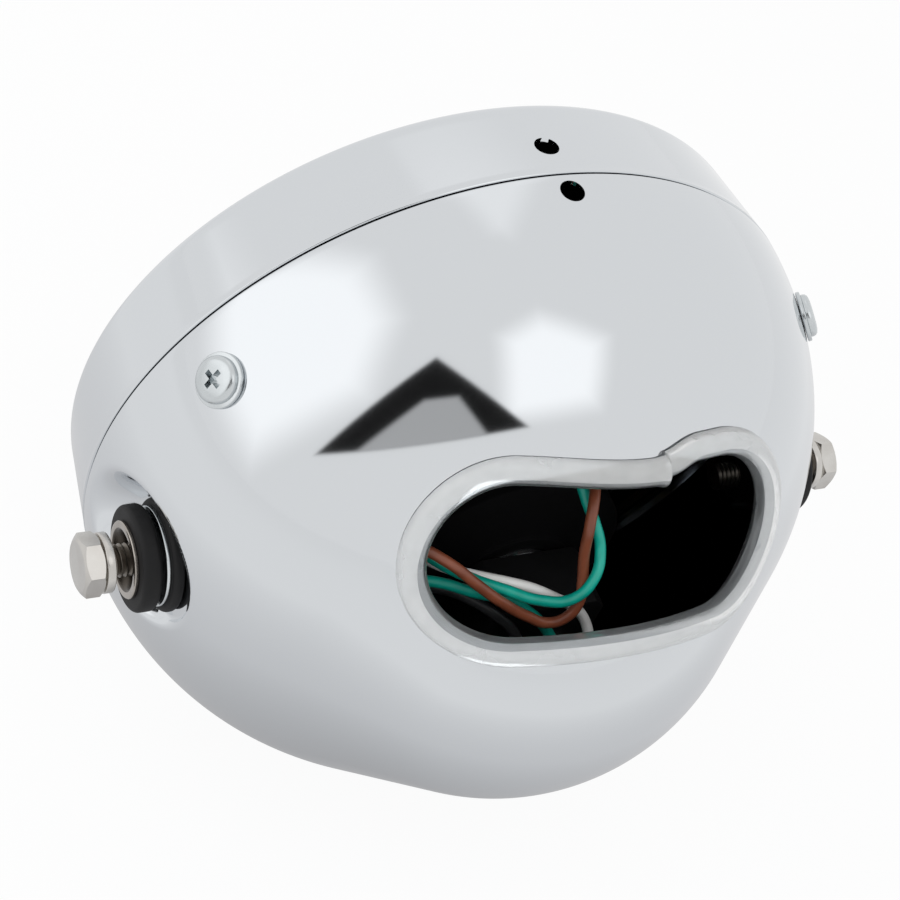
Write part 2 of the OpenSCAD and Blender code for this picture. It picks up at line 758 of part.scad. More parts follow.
// Bracket from the rim's lip to under the bucket's shoulder, for a rim screw
module rim_bracket(angle) {
    foot_r = bucket_r - rim_t - 1.5;
    leg_r = sqrt(pow(rim_lip_r, 2) - pow(bracket_w / 2, 2)) - 0.1;
    n = [cos(screw_phi), sin(screw_phi)];
    along = [-sin(screw_phi), cos(screw_phi)];
    seat = [shoulder_c, seam_y] + (shoulder_r - plate_drop) * n;
    front = seat - 7 * along;
    rear = seat + 7 * along;
    step_y = front[1] - 3;
    color("#8e9296") difference() {
        strip(angle, bracket_w) polygon([
            [foot_r, rim_lip_y - bracket_t],
            [foot_r, rim_lip_y],
            [leg_r, rim_lip_y],
            [leg_r, step_y],
            front,
            rear,
            rear - bracket_t * n,
            front - bracket_t * n,
            [leg_r - bracket_t, step_y + bracket_t / 2],
            [leg_r - bracket_t, rim_lip_y - bracket_t]
        ]);
        on_shoulder(angle, screw_back)
            translate([0, 0, -plate_drop - bracket_t - over])
                cylinder(r = screw_d / 2 + fit, h = bracket_t + 2 * over);
    }
}

// Hook on the rim's lip that reaches behind the bucket's curled edge
module rim_hook() {
    foot_r = bucket_r - rim_t - 1.5;
    leg_r = bucket_r - wall - curl_w - 0.4;
    outer_leg_r = min(leg_r, rim_lip_r - 0.4);
    hook_y = bucket_front_y + wall + 0.2;
    tip_r = bucket_r - wall - 1.2;
    color("#8e9296") strip(-90, bracket_w - 4) polygon([
        [foot_r, rim_lip_y - bracket_t],
        [foot_r, rim_lip_y],
        [outer_leg_r, rim_lip_y],
        [outer_leg_r, hook_y],
        [tip_r, hook_y],
        [tip_r, hook_y + bracket_t],
        [outer_leg_r - bracket_t, hook_y + bracket_t],
        [outer_leg_r - bracket_t, rim_lip_y - bracket_t]
    ]);
}

module rim_nut(angle) {
    color("#b9bcbf") on_shoulder(angle, screw_back)
        translate([0, 0, -plate_drop - bracket_t - screw_nut_h]) difference() {
            hex_bar(screw_nut_af, screw_nut_h);
            translate([0, 0, -over]) cylinder(r = screw_d / 2 + thread_fit, h = screw_nut_h + 2 * over);
        }
}

// Washer that stands on the shoulder's highest line under the screw
module rim_washer(angle) {
    color("#c6cacd") on_shoulder(angle, screw_back)
        ring(screw_d / 2 + fit, screw_washer_r, 0, screw_washer_t);
}

// Pan head screw with a cross recess
module rim_screw(angle) {
    crown = (pow(screw_head_r, 2) + pow(screw_head_h, 2)) / (2 * screw_head_h);
    recess = screw_head_r * 1.15;
    color("#c6cacd") on_shoulder(angle, screw_back) translate([0, 0, screw_washer_t]) difference() {
        union() {
            intersection() {
                cylinder(r = screw_head_r, h = screw_head_h + over);
                translate([0, 0, screw_head_h * 1.25 - crown * 1.25]) sphere(r = crown * 1.25);
            }
            translate([0, 0, -screw_len]) cylinder(r = screw_d / 2, h = screw_len + over / 2);
        }
        for (turn = [0, 90]) rotate([0, 0, turn])
            translate([-recess / 2, -0.5, screw_head_h * 0.35]) cube([recess, 1, screw_head_h * 2]);
    }
}

// Bulb base: socket for the glass, flange with three lugs, rear body and three blades
module bulb_base() {
    lug_w = 6;
    lug_out = 1.5;
    lug_t = bulb_flange_t * 0.8;
    color("#b5b8ba") {
        turned() polygon([
            [glass_r + fit, glass_y],
            [socket_r, glass_y],
            [socket_r, collar_y],
            [bulb_flange_r, collar_y],
            [bulb_flange_r, bulb_flange_y],
            [base_r, bulb_flange_y],
            [base_r, base_end_y],
            [0, base_end_y],
            [0, collar_y],
            [glass_r + fit, collar_y]
        ]);
        rotate([-90, 0, 0]) {
            for (turn = [90, 210, 330]) rotate([0, 0, turn])
                translate([bulb_flange_r - 2, -lug_w / 2, collar_y + (bulb_flange_t - lug_t) / 2])
                    cube([lug_out + 2, lug_w, lug_t]);
            for (turn = [0, 90, 180]) rotate([0, 0, turn])
                translate([blade_off - blade_t / 2, -blade_w / 2, base_end_y - over])
                    cube([blade_t, blade_w, blade_len + over]);
        }
    }
}

// Glass envelope, open where it sits in the base
module bulb_glass() {
    glass_t = 1;
    tip_y = collar_y - glass_len;
    color("#e6eef2", 0.5) rotate([-90, 0, 0]) difference() {
        union() {
            translate([0, 0, tip_y + glass_r]) cylinder(r = glass_r, h = glass_len - glass_r);
            translate([0, 0, tip_y + glass_r]) sphere(r = glass_r);
        }
        translate([0, 0, tip_y + glass_r]) cylinder(r = glass_r - glass_t, h = glass_len);
        translate([0, 0, tip_y + glass_r]) sphere(r = glass_r - glass_t);
    }
}

// Stem, two coils and the cup that shades one of them
module bulb_filaments() {
    stem_r = glass_r - 2.5;
    stem_len = 6;
    stem_y = collar_y - stem_len;
    coil_r = 0.9;
    coil_len = 5;
    post_r = 0.5;
    post_x = 3.5;
    coil_pitch = 8;
    cup_r = 4;
    cup_t = 1;
    cup_out = 2;
    coils = [stem_y - 2 * coil_pitch, stem_y - coil_pitch];
    color("#9aa0a4") rotate([-90, 0, 0]) {
        translate([0, 0, stem_y]) cylinder(r = stem_r, h = stem_len);
        for (x = [-post_x, 0, post_x])
            translate([x, 0, coils[0] - post_r]) cylinder(r = post_r, h = stem_y - coils[0] + post_r + over);
        for (y = coils) {
            translate([-post_x, 0, y]) rotate([0, 90, 0]) cylinder(r = post_r, h = 2 * post_x);
            translate([-coil_len / 2, 0, y]) rotate([0, 90, 0]) cylinder(r = coil_r, h = coil_len);
        }
        translate([0, 0, coils[1] - 2 * coil_r - cup_t / 2]) difference() {
            translate([0, cup_out, 0]) cylinder(r = cup_r, h = cup_t);
            translate([-cup_r - over, -cup_r, -over]) cube([2 * (cup_r + over), cup_r - cup_t, cup_t + 2 * over]);
        }
    }
}

// Wire clip that presses the bulb's flange onto the collar, hooked over its two sides
module bulb_clip() {
    arm_r = collar_r + bulb_clip_r + 0.2;
    hook_len = 4;
    steps = 24;
    hook = [arm_r, bulb_clip_y - hook_len, 0];
    bend = [arm_r, bulb_clip_y, 0];
    bow = [
        for (i = [0 : steps])
            let (a = 180 * i / steps, r = bulb_clip_ring)
                [r * cos(a), bulb_clip_y, r * sin(a)]
    ];
    points = concat([hook, bend], bow, [[-bend[0], bend[1], 0], [-hook[0], hook[1], 0]]);
    color("#9b9fa2") sweep(points, bulb_clip_r, wire_sides);
}

// Rubber boot from the reflector's back to the bulb's base
module bulb_boot() {
    side_y = bulb_clip_y + bulb_clip_r + 0.4;
    grip_r = base_r + fit;
    color("#2a2a2b") turned() polygon([
        [boot_mouth_r, boot_mouth_y],
        [boot_mouth_r + boot_t, boot_mouth_y],
        [boot_mouth_r + boot_t, side_y],
        [boot_mouth_r - 2, side_y + boot_t],
        [grip_r + 4, boot_top_y - 1],
        [grip_r + 4, boot_top_y],
        [grip_r, boot_top_y],
        [grip_r, boot_top_y - boot_t],
        [boot_mouth_r - 2 - boot_t, side_y],
        [boot_mouth_r, side_y - boot_t / 2]
    ]);
}

// Plug pushed over the three blades
module bulb_plug() {
    gap = 0.2;
    color("#26272a") rotate([-90, 0, 0]) difference() {
        translate([-plug_w / 2, -plug_h / 2, plug_y]) cube([plug_w, plug_h, plug_len]);
        for (turn = [0, 90, 180]) rotate([0, 0, turn])
            translate([blade_off - blade_t / 2 - gap, -blade_w / 2 - gap, plug_y - over])
                cube([blade_t + 2 * gap, blade_w + 2 * gap, blade_len + over]);
        for (sx = [-1, 1], sy = [-1, 1])
            translate([sx * plug_w / 2, sy * plug_h / 2, plug_y - over])
                rotate([0, 0, 45]) cube([4, 4, 2 * plug_len + 4], center = true);
    }
}

// Small bulb and the rubber holder that plugs it into the reflector
module pilot_bulb() {
    bulb_r = pilot_r - 2.2;
    bulb_len = 18;
    from = pilot_seat_y - reflector_y - pilot_in;
    color("#e6eef2", 0.5) pilot_axis() {
        translate([0, 0, from - bulb_len + bulb_r]) cylinder(r = bulb_r, h = bulb_len - bulb_r);
        translate([0, 0, from - bulb_len + bulb_r]) sphere(r = bulb_r);
    }
}

module pilot_holder() {
    seat = pilot_seat_y - reflector_y;
    color("#2a2a2b") pilot_axis() {
        translate([0, 0, seat - pilot_in]) cylinder(r = pilot_r - fit, h = pilot_in + pilot_collar_t / 2);
        translate([0, 0, seat]) cylinder(r = pilot_r + pilot_collar_w, h = pilot_collar_t);
        translate([0, 0, seat]) cylinder(r = pilot_r - pilot_collar_w / 2, h = pilot_out);
    }
}

// The side fixings, from the outside inward
module side_bolt(side) {
    chamfer_r = hex_af * 0.47;
    color("#cfcdca") on_side(side) {
        translate([0, 0, head_x]) intersection() {
            hex_bar(hex_af, head_h);
            cylinder(r1 = chamfer_r + head_h * 1.75, r2 = chamfer_r, h = head_h);
        }
        translate([0, 0, head_x - bolt_len]) cylinder(r = bolt_d / 2, h = bolt_len + over);
    }
}

module lock_washer(side) {
    slot_w = 1.4;
    color("#c3c3c1") on_side(side) difference() {
        ring(bolt_d / 2 + fit, lock_r, lock_x, head_x);
        translate([0, 0, (lock_x + head_x) / 2]) rotate([0, 0, 35]) rotate([20, 0, 0])
            translate([0, -slot_w / 2, -2 * lock_t]) cube([2 * lock_r, slot_w, 4 * lock_t]);
    }
}

// Flanged steel sleeve inside the outer grommet
module sleeve(side) {
    color("#bdbbb6") on_side(side) {
        ring(sleeve_bore_r, sleeve_r, spigot_x, sleeve_flange_x + sleeve_flange_t / 2);
        ring(sleeve_bore_r, sleeve_flange_r, sleeve_flange_x, bare_x);
    }
}

module outer_grommet(side) {
    color("#232424") on_side(side) {
        soft_ring(sleeve_r + fit, grommet_r, grommet_x, sleeve_flange_x, rubber_round);
        ring(sleeve_r + fit, spigot_r, spigot_x, grommet_x + over);
    }
}

module plate_washer(side) {
    color("#c7c9c8") on_side(side) ring(bolt_d / 2 + fit, plate_r, plate_x, spigot_x);
}

module inner_pad(side) {
    color("#1d1e1e") on_side(side) soft_ring(bolt_d / 2 + fit, pad_r, floor_x, plate_x, rubber_round);
}

module weld_nut(side) {
    color("#a7aaad") on_side(side) translate([0, 0, floor_x - wall - weld_nut_h]) difference() {
        hex_bar(hex_af, weld_nut_h);
        translate([0, 0, -over]) cylinder(r = bolt_d / 2 + thread_fit, h = weld_nut_h + 2 * over);
    }
}

// A wire swept from its exit, straight at first, along its route to its end
module wire(start, route, end, tint) {
    color(tint) sweep(concat([start, start + [0, wire_lead, 0]], route, [end]), wire_r, wire_sides);
}

module wire_brown() { wire(brown_exit, brown_route, brown_end, "#8a5a44"); }
module wire_green_parking() {
    wire(green_parking_exit, green_parking_route, green_parking_end, "#12a48f");
}
module wire_white() { wire(white_exit, white_route, white_end, "#e9e6e4"); }
module wire_green_main() { wire(green_main_exit, green_main_route, green_main_end, "#12a48f"); }
module wire_black() { wire(black_exit, black_route, black_end, "#242425"); }

// A bullet on each wire's end, with a neck behind its round head
module bullet_terminals() {
    neck = bullet_r * 0.7;
    head = bullet_r * 1.6;
    color("#c9b25a") for (p = wire_ends) translate(p) rotate([180, 0, 0]) {
        cylinder(r = bullet_r, h = bullet_len - head - 2);
        cylinder(r = neck, h = bullet_len - bullet_r);
        translate([0, 0, bullet_len - head - 0.6]) cylinder(r = bullet_r, h = head + 0.6 - bullet_r);
        translate([0, 0, bullet_len - bullet_r]) sphere(r = bullet_r);
    }
}

module terminal_sleeves() {
    inner = bullet_r + 0.2;
    color("#dfe3e4", 0.5) for (p = wire_ends) translate(p)
        ring(inner, inner + terminal_sleeve_t, -bullet_len + bullet_r, terminal_drop - 2);
}

bucket();
opening_trim();
rim();
rim_gasket();
lens();
lens_seal();
reflector();
unit_clips();
rim_bracket(screw_angle);  // rim_bracket_left
rim_bracket(180 - screw_angle);  // rim_bracket_right
rim_hook();
rim_nut(screw_angle);  // rim_nut_left
rim_nut(180 - screw_angle);  // rim_nut_right
rim_screw(screw_angle);  // rim_screw_left
rim_screw(180 - screw_angle);  // rim_screw_right
rim_washer(screw_angle);  // rim_washer_left
rim_washer(180 - screw_angle);  // rim_washer_right
bulb_base();
bulb_glass();
bulb_filaments();
bulb_clip();
bulb_boot();
bulb_plug();
pilot_bulb();
pilot_holder();
side_bolt(1);  // side_bolt_left
side_bolt(-1);  // side_bolt_right
lock_washer(1);  // lock_washer_left
lock_washer(-1);  // lock_washer_right
sleeve(1);  // sleeve_left
sleeve(-1);  // sleeve_right
outer_grommet(1);  // outer_grommet_left
outer_grommet(-1);  // outer_grommet_right
plate_washer(1);  // plate_washer_left
plate_washer(-1);  // plate_washer_right
inner_pad(1);  // inner_pad_left
inner_pad(-1);  // inner_pad_right
weld_nut(1);  // weld_nut_left
weld_nut(-1);  // weld_nut_right
wire_brown();
wire_green_parking();
wire_white();
wire_green_main();
wire_black();
bullet_terminals();
terminal_sleeves();
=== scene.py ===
# Round motorcycle headlight, seen from behind: a chromed bucket with a wiring opening,
# the lamp unit in its rim, and a rubber-mounted bolt on each side.
# Lengths of the pieces are millimetres and turn to metres where one is made. The studio's are metres.
import math

import bpy
from mathutils import Matrix, Vector


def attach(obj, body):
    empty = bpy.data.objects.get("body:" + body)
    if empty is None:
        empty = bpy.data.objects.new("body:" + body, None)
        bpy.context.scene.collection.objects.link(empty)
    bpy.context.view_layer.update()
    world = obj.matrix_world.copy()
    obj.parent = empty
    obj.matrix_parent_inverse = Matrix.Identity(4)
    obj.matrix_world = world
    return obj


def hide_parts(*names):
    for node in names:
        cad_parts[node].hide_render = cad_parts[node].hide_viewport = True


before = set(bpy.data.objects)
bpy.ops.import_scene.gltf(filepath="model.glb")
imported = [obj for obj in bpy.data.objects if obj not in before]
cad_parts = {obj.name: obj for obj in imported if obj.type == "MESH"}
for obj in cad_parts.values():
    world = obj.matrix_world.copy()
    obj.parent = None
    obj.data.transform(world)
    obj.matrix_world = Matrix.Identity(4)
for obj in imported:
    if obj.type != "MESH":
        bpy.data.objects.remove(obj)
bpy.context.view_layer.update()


# Camera: the photograph looks down on the bucket's back from its left, with a 90 mm lens
# and the camera turned clockwise about its own axis.
MM = 0.001
azimuth, elevation, roll = math.radians(139.2), math.radians(48.5), math.radians(25.5)
distance, slid_right, slid_up = 547.7, -7.3, 14.3
back = Vector((
    math.sin(azimuth) * math.cos(elevation), -math.cos(azimuth) * math.cos(elevation), math.sin(elevation)))
level = (-back).cross(Vector((0, 0, 1))).normalized()
upright = level.cross(-back)
right = math.cos(roll) * level + math.sin(roll) * upright
up = -math.sin(roll) * level + math.cos(roll) * upright
camera_data = bpy.data.cameras.new("camera")
camera_data.lens = 90
camera_data.sensor_width = 36
camera = bpy.data.objects.new("camera", camera_data)
turned = Matrix((right, up, back)).transposed().to_4x4()
camera.matrix_world = Matrix.Translation(MM * (distance * back + slid_right * right + slid_up * up)) @ turned
bpy.context.scene.collection.objects.link(camera)
bpy.context.scene.camera = camera


# Wires: five single-core leads in extruded soft PVC, 2.6 mm over the insulation. Two come
# from the parking light's holder and three from the plug, and all end in bullet terminals
# that lie together in the bucket's left side.
def linear(hex_colour):
    """sRGB hex to the linear colour that a shader reads."""
    channels = [int(hex_colour[i:i + 2], 16) / 255 for i in (1, 3, 5)]
    return tuple(c / 12.92 if c <= 0.04045 else ((c + 0.055) / 1.055) ** 2.4 for c in channels) + (1.0,)


def new_material(name):
    """An empty node material and its output."""
    material = bpy.data.materials.new(name)
    material.use_nodes = True
    material.node_tree.nodes.clear()
    return material, add(material, "ShaderNodeOutputMaterial")


def add(material, kind, links=None, **settings):
    """Adds one node. links holds its sockets: another node's socket is joined, a value is set."""
    made = material.node_tree.nodes.new(kind)
    for name, value in settings.items():
        setattr(made, name, value)
    for name, value in (links or {}).items():
        if isinstance(value, bpy.types.NodeSocket):
            material.node_tree.links.new(value, made.inputs[name])
        else:
            made.inputs[name].default_value = value
    return made


def soft_pvc(name, colour, shade):
    """Plasticised PVC, extruded: satin, with slow waves where it was bent and handled."""
    material, output = new_material(name)
    place = add(material, "ShaderNodeTexCoord").outputs["Object"]
    # waves about 6 mm long, and a fine skin at 0.4 mm that catches the light
    waves = add(material, "ShaderNodeTexNoise", {"Vector": place, "Scale": 160.0, "Detail": 2.0})
    skin = add(material, "ShaderNodeTexNoise", {"Vector": place, "Scale": 2500.0, "Detail": 2.0})
    tint = add(material, "ShaderNodeValToRGB", {"Fac": waves.outputs["Fac"]})
    tint.color_ramp.elements[0].color = linear(shade)
    tint.color_ramp.elements[1].color = linear(colour)
    tint.color_ramp.elements[0].position = 0.3
    tint.color_ramp.elements[1].position = 0.65
    bump = add(material, "ShaderNodeBump", {
        "Height": skin.outputs["Fac"], "Strength": 0.12, "Distance": 0.0001})
    plastic = add(material, "ShaderNodeBsdfPrincipled", {
        "Base Color": tint.outputs["Color"], "Roughness": 0.36, "IOR": 1.53,
        "Normal": bump.outputs["Normal"]})
    material.node_tree.links.new(plastic.outputs["BSDF"], output.inputs["Surface"])
    return material


wire_d, wire_lead = 2.6, 1.3
# a lead's smooth curve runs this much longer than straight steps between its points
curve_gain = 1.004
parking_y, parking_z, plug_end_y = 12.578, 42.0, 37.245
wires = {
    "wire_brown": dict(
        colour="#8E5038", shade="#6F3A27", slot="wire_brown",
        start=(-6.5, parking_y, parking_z), end=(58, 21, 5),
        route=[(-5.9, 20.8, 44.1), (-2.9, 28, 44.7), (-0.8, 33.6, 40.6), (-0.9, 36.5, 33),
               (-1.4, 39.3, 27.4), (-0.6, 42.7, 23.4), (2, 44.2, 19.6), (6, 44, 18), (11.5, 42.6, 20),
               (18, 41, 24.2), (25, 38, 29), (32, 34.5, 34), (39, 30, 36), (46, 25, 34), (52, 22, 28),
               (56, 21, 21), (58, 21, 14)]),
    "wire_green_parking": dict(
        colour="#0AAF9B", shade="#069483", slot="wire_green",
        start=(-1.5, parking_y, parking_z), end=(57, 12, 5),
        route=[(-1, 20.5, 43.8), (-1.4, 23.9, 43.4), (-2.4, 27.8, 40.8), (-3.5, 32.3, 38.4),
               (-4.9, 36.4, 33.6), (-2.6, 41.3, 29.9), (2.4, 43.4, 26), (10, 42, 25.3), (17, 37.7, 25),
               (23, 34, 25), (29, 29, 25), (35, 24, 27), (42, 19, 30), (49, 15, 29), (54, 12.5, 24),
               (57, 12, 17)]),
    "wire_white": dict(
        colour="#FCFCFB", shade="#F2F1EF", slot="wire_white",
        start=(-8, plug_end_y, -5), end=(48, 11, 5),
        route=[(-8, 41.5, -4.2), (-8.3, 43.7, -2), (-8.8, 44.5, 1), (-9, 43.8, 6), (-7, 41.2, 11.5),
               (-3, 40, 16), (3, 39, 20), (9, 37, 22.5), (15, 34.5, 23), (21, 31.5, 22.5), (27, 28, 22),
               (33, 23, 22), (39, 17, 21), (44, 13, 18), (48, 11, 12)]),
    "wire_green_main": dict(
        colour="#0AAF9B", shade="#069483", slot="wire_green",
        start=(0, plug_end_y, -5), end=(49, 20, 5),
        route=[(0, 41.5, -4.2), (0, 43.7, -2), (0, 44.5, 1), (0, 43.5, 5.5), (3, 41, 10.5), (8, 38.5, 15),
               (15, 36.5, 19), (22, 35, 21), (29, 32, 22), (36, 29, 21.5), (42, 25, 20), (46.5, 22, 17),
               (49, 20, 12)]),
    "wire_black": dict(
        colour="#2E2F31", shade="#1F2021", slot="wire_black",
        start=(8, plug_end_y, -5), end=(41, 21, -2),
        route=[(8, 41.5, -4.2), (8.2, 43.7, -2), (8.5, 44.5, 1), (9, 43.5, 5.5), (11, 41, 10.5),
               (16, 38.4, 15), (23, 33, 17), (30, 30, 18), (36, 27, 16.5), (40, 23.5, 12), (41, 21, 6)]),
}
green_pvc = None
for name, wire in wires.items():
    start = Vector(wire["start"])
    points = [start, start + Vector((0, wire_lead, 0))]
    points += [Vector(p) for p in wire["route"]] + [Vector(wire["end"])]
    curve = bpy.data.curves.new(name + "_lead", "CURVE")
    curve.dimensions = "3D"
    curve.bevel_depth = wire_d / 2 * MM
    curve.bevel_resolution = 5
    curve.resolution_u = 8
    curve.use_fill_caps = True
    spline = curve.splines.new("BEZIER")
    spline.bezier_points.add(len(points) - 1)
    for knot, point in zip(spline.bezier_points, points):
        knot.co = point * MM
        knot.handle_left_type = knot.handle_right_type = "AUTO"
    lead = bpy.data.objects.new(name + "_lead", curve)
    bpy.context.scene.collection.objects.link(lead)
    if wire["slot"] == "wire_green":
        green_pvc = green_pvc or soft_pvc("green_pvc", wire["colour"], wire["shade"])
        curve.materials.append(green_pvc)
    else:
        curve.materials.append(soft_pvc(name + "_pvc", wire["colour"], wire["shade"]))
    wire["object"] = lead
    wire["length"] = sum((b - a).length for a, b in zip(points, points[1:])) * curve_gain
    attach(lead, "root")
    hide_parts(name)


# Bullet terminals: brass bullets crimped on the leads' ends, each under a clear soft
# sleeve. They are turned parts: a barrel, a waist and a round head.
def select_only(*objects):
    """Leaves only these objects selected, the first of them active."""
    if bpy.context.object and bpy.context.object.mode != "OBJECT":
        bpy.ops.object.mode_set(mode="OBJECT")
    bpy.ops.object.select_all(action="DESELECT")
    for thing in objects:
        thing.select_set(True)
    bpy.context.view_layer.objects.active = objects[0]


def spun(name, profile, steps, axis="Y", centre=(0, 0, 0), closed=False):
    """Draws a profile of (radius, height) points by extruding one vertex, and spins it round an axis."""
    along = {"X": Vector((1, 0, 0)), "Y": Vector((0, 1, 0)), "Z": Vector((0, 0, 1))}[axis]
    out = Vector((0, 0, 1)) if axis in "XY" else Vector((1, 0, 0))
    bpy.ops.object.select_all(action="DESELECT")
    first = Vector(centre) + out * profile[0][0] + along * profile[0][1]
    bpy.ops.mesh.primitive_plane_add(size=MM, location=first * MM)
    made = bpy.context.object
    made.name = made.data.name = name
    bpy.ops.object.mode_set(mode="EDIT")
    bpy.ops.mesh.select_all(action="SELECT")
    bpy.ops.mesh.merge(type="CENTER")
    for (r0, h0), (r1, h1) in zip(profile, profile[1:]):
        step = (out * (r1 - r0) + along * (h1 - h0)) * MM
        bpy.ops.mesh.extrude_region_move(TRANSFORM_OT_translate={"value": step})
    bpy.ops.mesh.select_all(action="SELECT")
    if closed:
        bpy.ops.mesh.select_all(action="DESELECT")
        bpy.ops.object.mode_set(mode="OBJECT")
        made.data.vertices[0].select = made.data.vertices[len(profile) - 1].select = True
        bpy.ops.object.mode_set(mode="EDIT")
        bpy.ops.mesh.edge_face_add()
        bpy.ops.mesh.select_all(action="SELECT")
    bpy.ops.mesh.spin(steps=steps, angle=2 * math.pi, center=Vector(centre) * MM, axis=along)
    bpy.ops.mesh.select_all(action="SELECT")
    bpy.ops.mesh.remove_doubles(threshold=0.00001)
    bpy.ops.mesh.normals_make_consistent(inside=False)
    bpy.ops.object.mode_set(mode="OBJECT")
    bpy.ops.object.transform_apply(location=True, rotation=True, scale=True)
    return made


def smooth(thing, angle=35):
    """Smooth shading, with edges sharper than the angle left crisp."""
    select_only(thing)
    bpy.ops.object.shade_smooth_by_angle(angle=math.radians(angle))


def finish_piece(thing, material, slot, *nodes):
    """Puts a piece in its place: material, body and the nodes it stands for. The slot is not used."""
    if material is not None:
        thing.data.materials.clear()
        thing.data.materials.append(material)
    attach(thing, "root")
    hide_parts(*nodes)


def metal(name, colour, shade, roughness, spread, grain=1.0):
    """Plated or plain metal: roughness and tone drift with handling, over a fine grain."""
    material, output = new_material(name)
    place = add(material, "ShaderNodeTexCoord").outputs["Object"]
    # clouds about 9 mm wide from handling, and a 0.3 mm grain from the tool or the bath
    clouds = add(material, "ShaderNodeTexNoise", {"Vector": place, "Scale": 110.0, "Detail": 3.0})
    fine = add(material, "ShaderNodeTexNoise", {"Vector": place, "Scale": 3200.0, "Detail": 2.0})
    tint = add(material, "ShaderNodeValToRGB", {"Fac": clouds.outputs["Fac"]})
    tint.color_ramp.elements[0].color = linear(shade)
    tint.color_ramp.elements[1].color = linear(colour)
    tint.color_ramp.elements[0].position = 0.32
    tint.color_ramp.elements[1].position = 0.68
    dull = add(material, "ShaderNodeMapRange", {
        "Value": clouds.outputs["Fac"],
        "To Min": max(roughness - spread, 0.02), "To Max": roughness + spread})
    bump = add(material, "ShaderNodeBump", {
        "Height": fine.outputs["Fac"], "Strength": 0.1 * grain, "Distance": 0.00005})
    plate = add(material, "ShaderNodeBsdfPrincipled", {
        "Base Color": tint.outputs["Color"], "Metallic": 1.0, "Roughness": dull.outputs["Result"],
        "Normal": bump.outputs["Normal"]})
    material.node_tree.links.new(plate.outputs["BSDF"], output.inputs["Surface"])
    return material


# turned brass, left bare: a warm yellow, a little dulled by handling
brass = metal("turned_brass", "#D9C078", "#B89A50", 0.28, 0.06)

# clear plasticised PVC, dip-moulded: see-through, with ripples about 1.4 mm long
sleeve_pvc, sleeve_out = new_material("clear_sleeve_pvc")
sleeve_place = add(sleeve_pvc, "ShaderNodeTexCoord").outputs["Object"]
sleeve_noise = add(sleeve_pvc, "ShaderNodeTexNoise", {
    "Vector": sleeve_place, "Scale": 700.0, "Detail": 2.0})
sleeve_bump = add(sleeve_pvc, "ShaderNodeBump", {
    "Height": sleeve_noise.outputs["Fac"], "Strength": 0.15, "Distance": 0.0001})
sleeve_shader = add(sleeve_pvc, "ShaderNodeBsdfPrincipled", {
    "Base Color": linear("#E9EDEE"), "Roughness": 0.25, "IOR": 1.5, "Transmission Weight": 0.7,
    "Normal": sleeve_bump.outputs["Normal"]})
sleeve_pvc.node_tree.links.new(sleeve_shader.outputs["BSDF"], sleeve_out.inputs["Surface"])

bullet = [(0, 0), (1.9, 0), (2.0, -0.2), (2.0, -7.6), (1.9, -7.8), (1.4, -8.2), (1.4, -9.1),
          (1.9, -9.4), (2.0, -9.6), (2.0, -11.0), (1.87, -11.7), (1.52, -12.3), (1.0, -12.73),
          (0.5, -12.93), (0, -13)]
cover = [(2.2, -10.8), (2.3, -11.0), (2.9, -11.0), (3.0, -10.8), (3.0, 4.2), (2.7, 4.8), (2.4, 5.0),
         (2.2, 4.8)]
terminal_steps = 24
for name, wire in wires.items():
    tag = name.replace("wire_", "")
    head = spun("bullet_" + tag, bullet, terminal_steps, "Z", wire["end"])
    smooth(head)
    finish_piece(head, brass, "terminal_brass", "bullet_terminals")
    hood = spun("terminal_sleeve_" + tag, cover, terminal_steps, "Z", wire["end"], closed=True)
    smooth(hood)
    finish_piece(hood, sleeve_pvc, "sleeve_plastic", "terminal_sleeves")


# Bucket: pressed from 1.2 mm steel, polished and chromed outside, and sprayed matt black
# inside. A pocket is pressed into each side for the bolt's rubber pads, and the mouth is
# curled inward.
bucket_r, wall, seam_y, seam_half = 92.0, 1.2, -24.9, 0.2
shoulder_r, flank, nose_r = 80.0, math.radians(49.5), 62.0
curl_w, edge = 3.0, 0.6
shoulder_rows, flank_rows, nose_rows, round_steps = 46, 26, 26, 288
bucket_front = seam_y + seam_half
shoulder_c = bucket_r - shoulder_r
shoulder_end = Vector((shoulder_c + shoulder_r * math.cos(flank), seam_y + shoulder_r * math.sin(flank)))
flank_offset = shoulder_end.y * math.sin(flank) + shoulder_end.x * math.cos(flank)
nose_y = (flank_offset - nose_r) / math.sin(flank)
nose_start_y = nose_y + nose_r * math.sin(flank)


def bucket_radius(y):
    """Radius of the bucket's outside at y."""
    if y < shoulder_end.y:
        return shoulder_c + math.sqrt(shoulder_r ** 2 - (y - seam_y) ** 2)
    if y < nose_start_y:
        return (flank_offset - y * math.sin(flank)) / math.cos(flank)
    return math.sqrt(max(0.0, nose_r ** 2 - (y - nose_y) ** 2))


def bucket_normal(point):
    """Outward direction of the bucket's outside at a point on it."""
    r = math.hypot(point.x, point.z)
    if point.y < shoulder_end.y:
        slope = (point.y - seam_y) / math.sqrt(shoulder_r ** 2 - (point.y - seam_y) ** 2)
    elif point.y < nose_start_y:
        slope = math.tan(flank)
    else:
        slope = (point.y - nose_y) / math.sqrt(nose_r ** 2 - (point.y - nose_y) ** 2)
    return Vector((point.x / r, slope, point.z / r)).normalized()


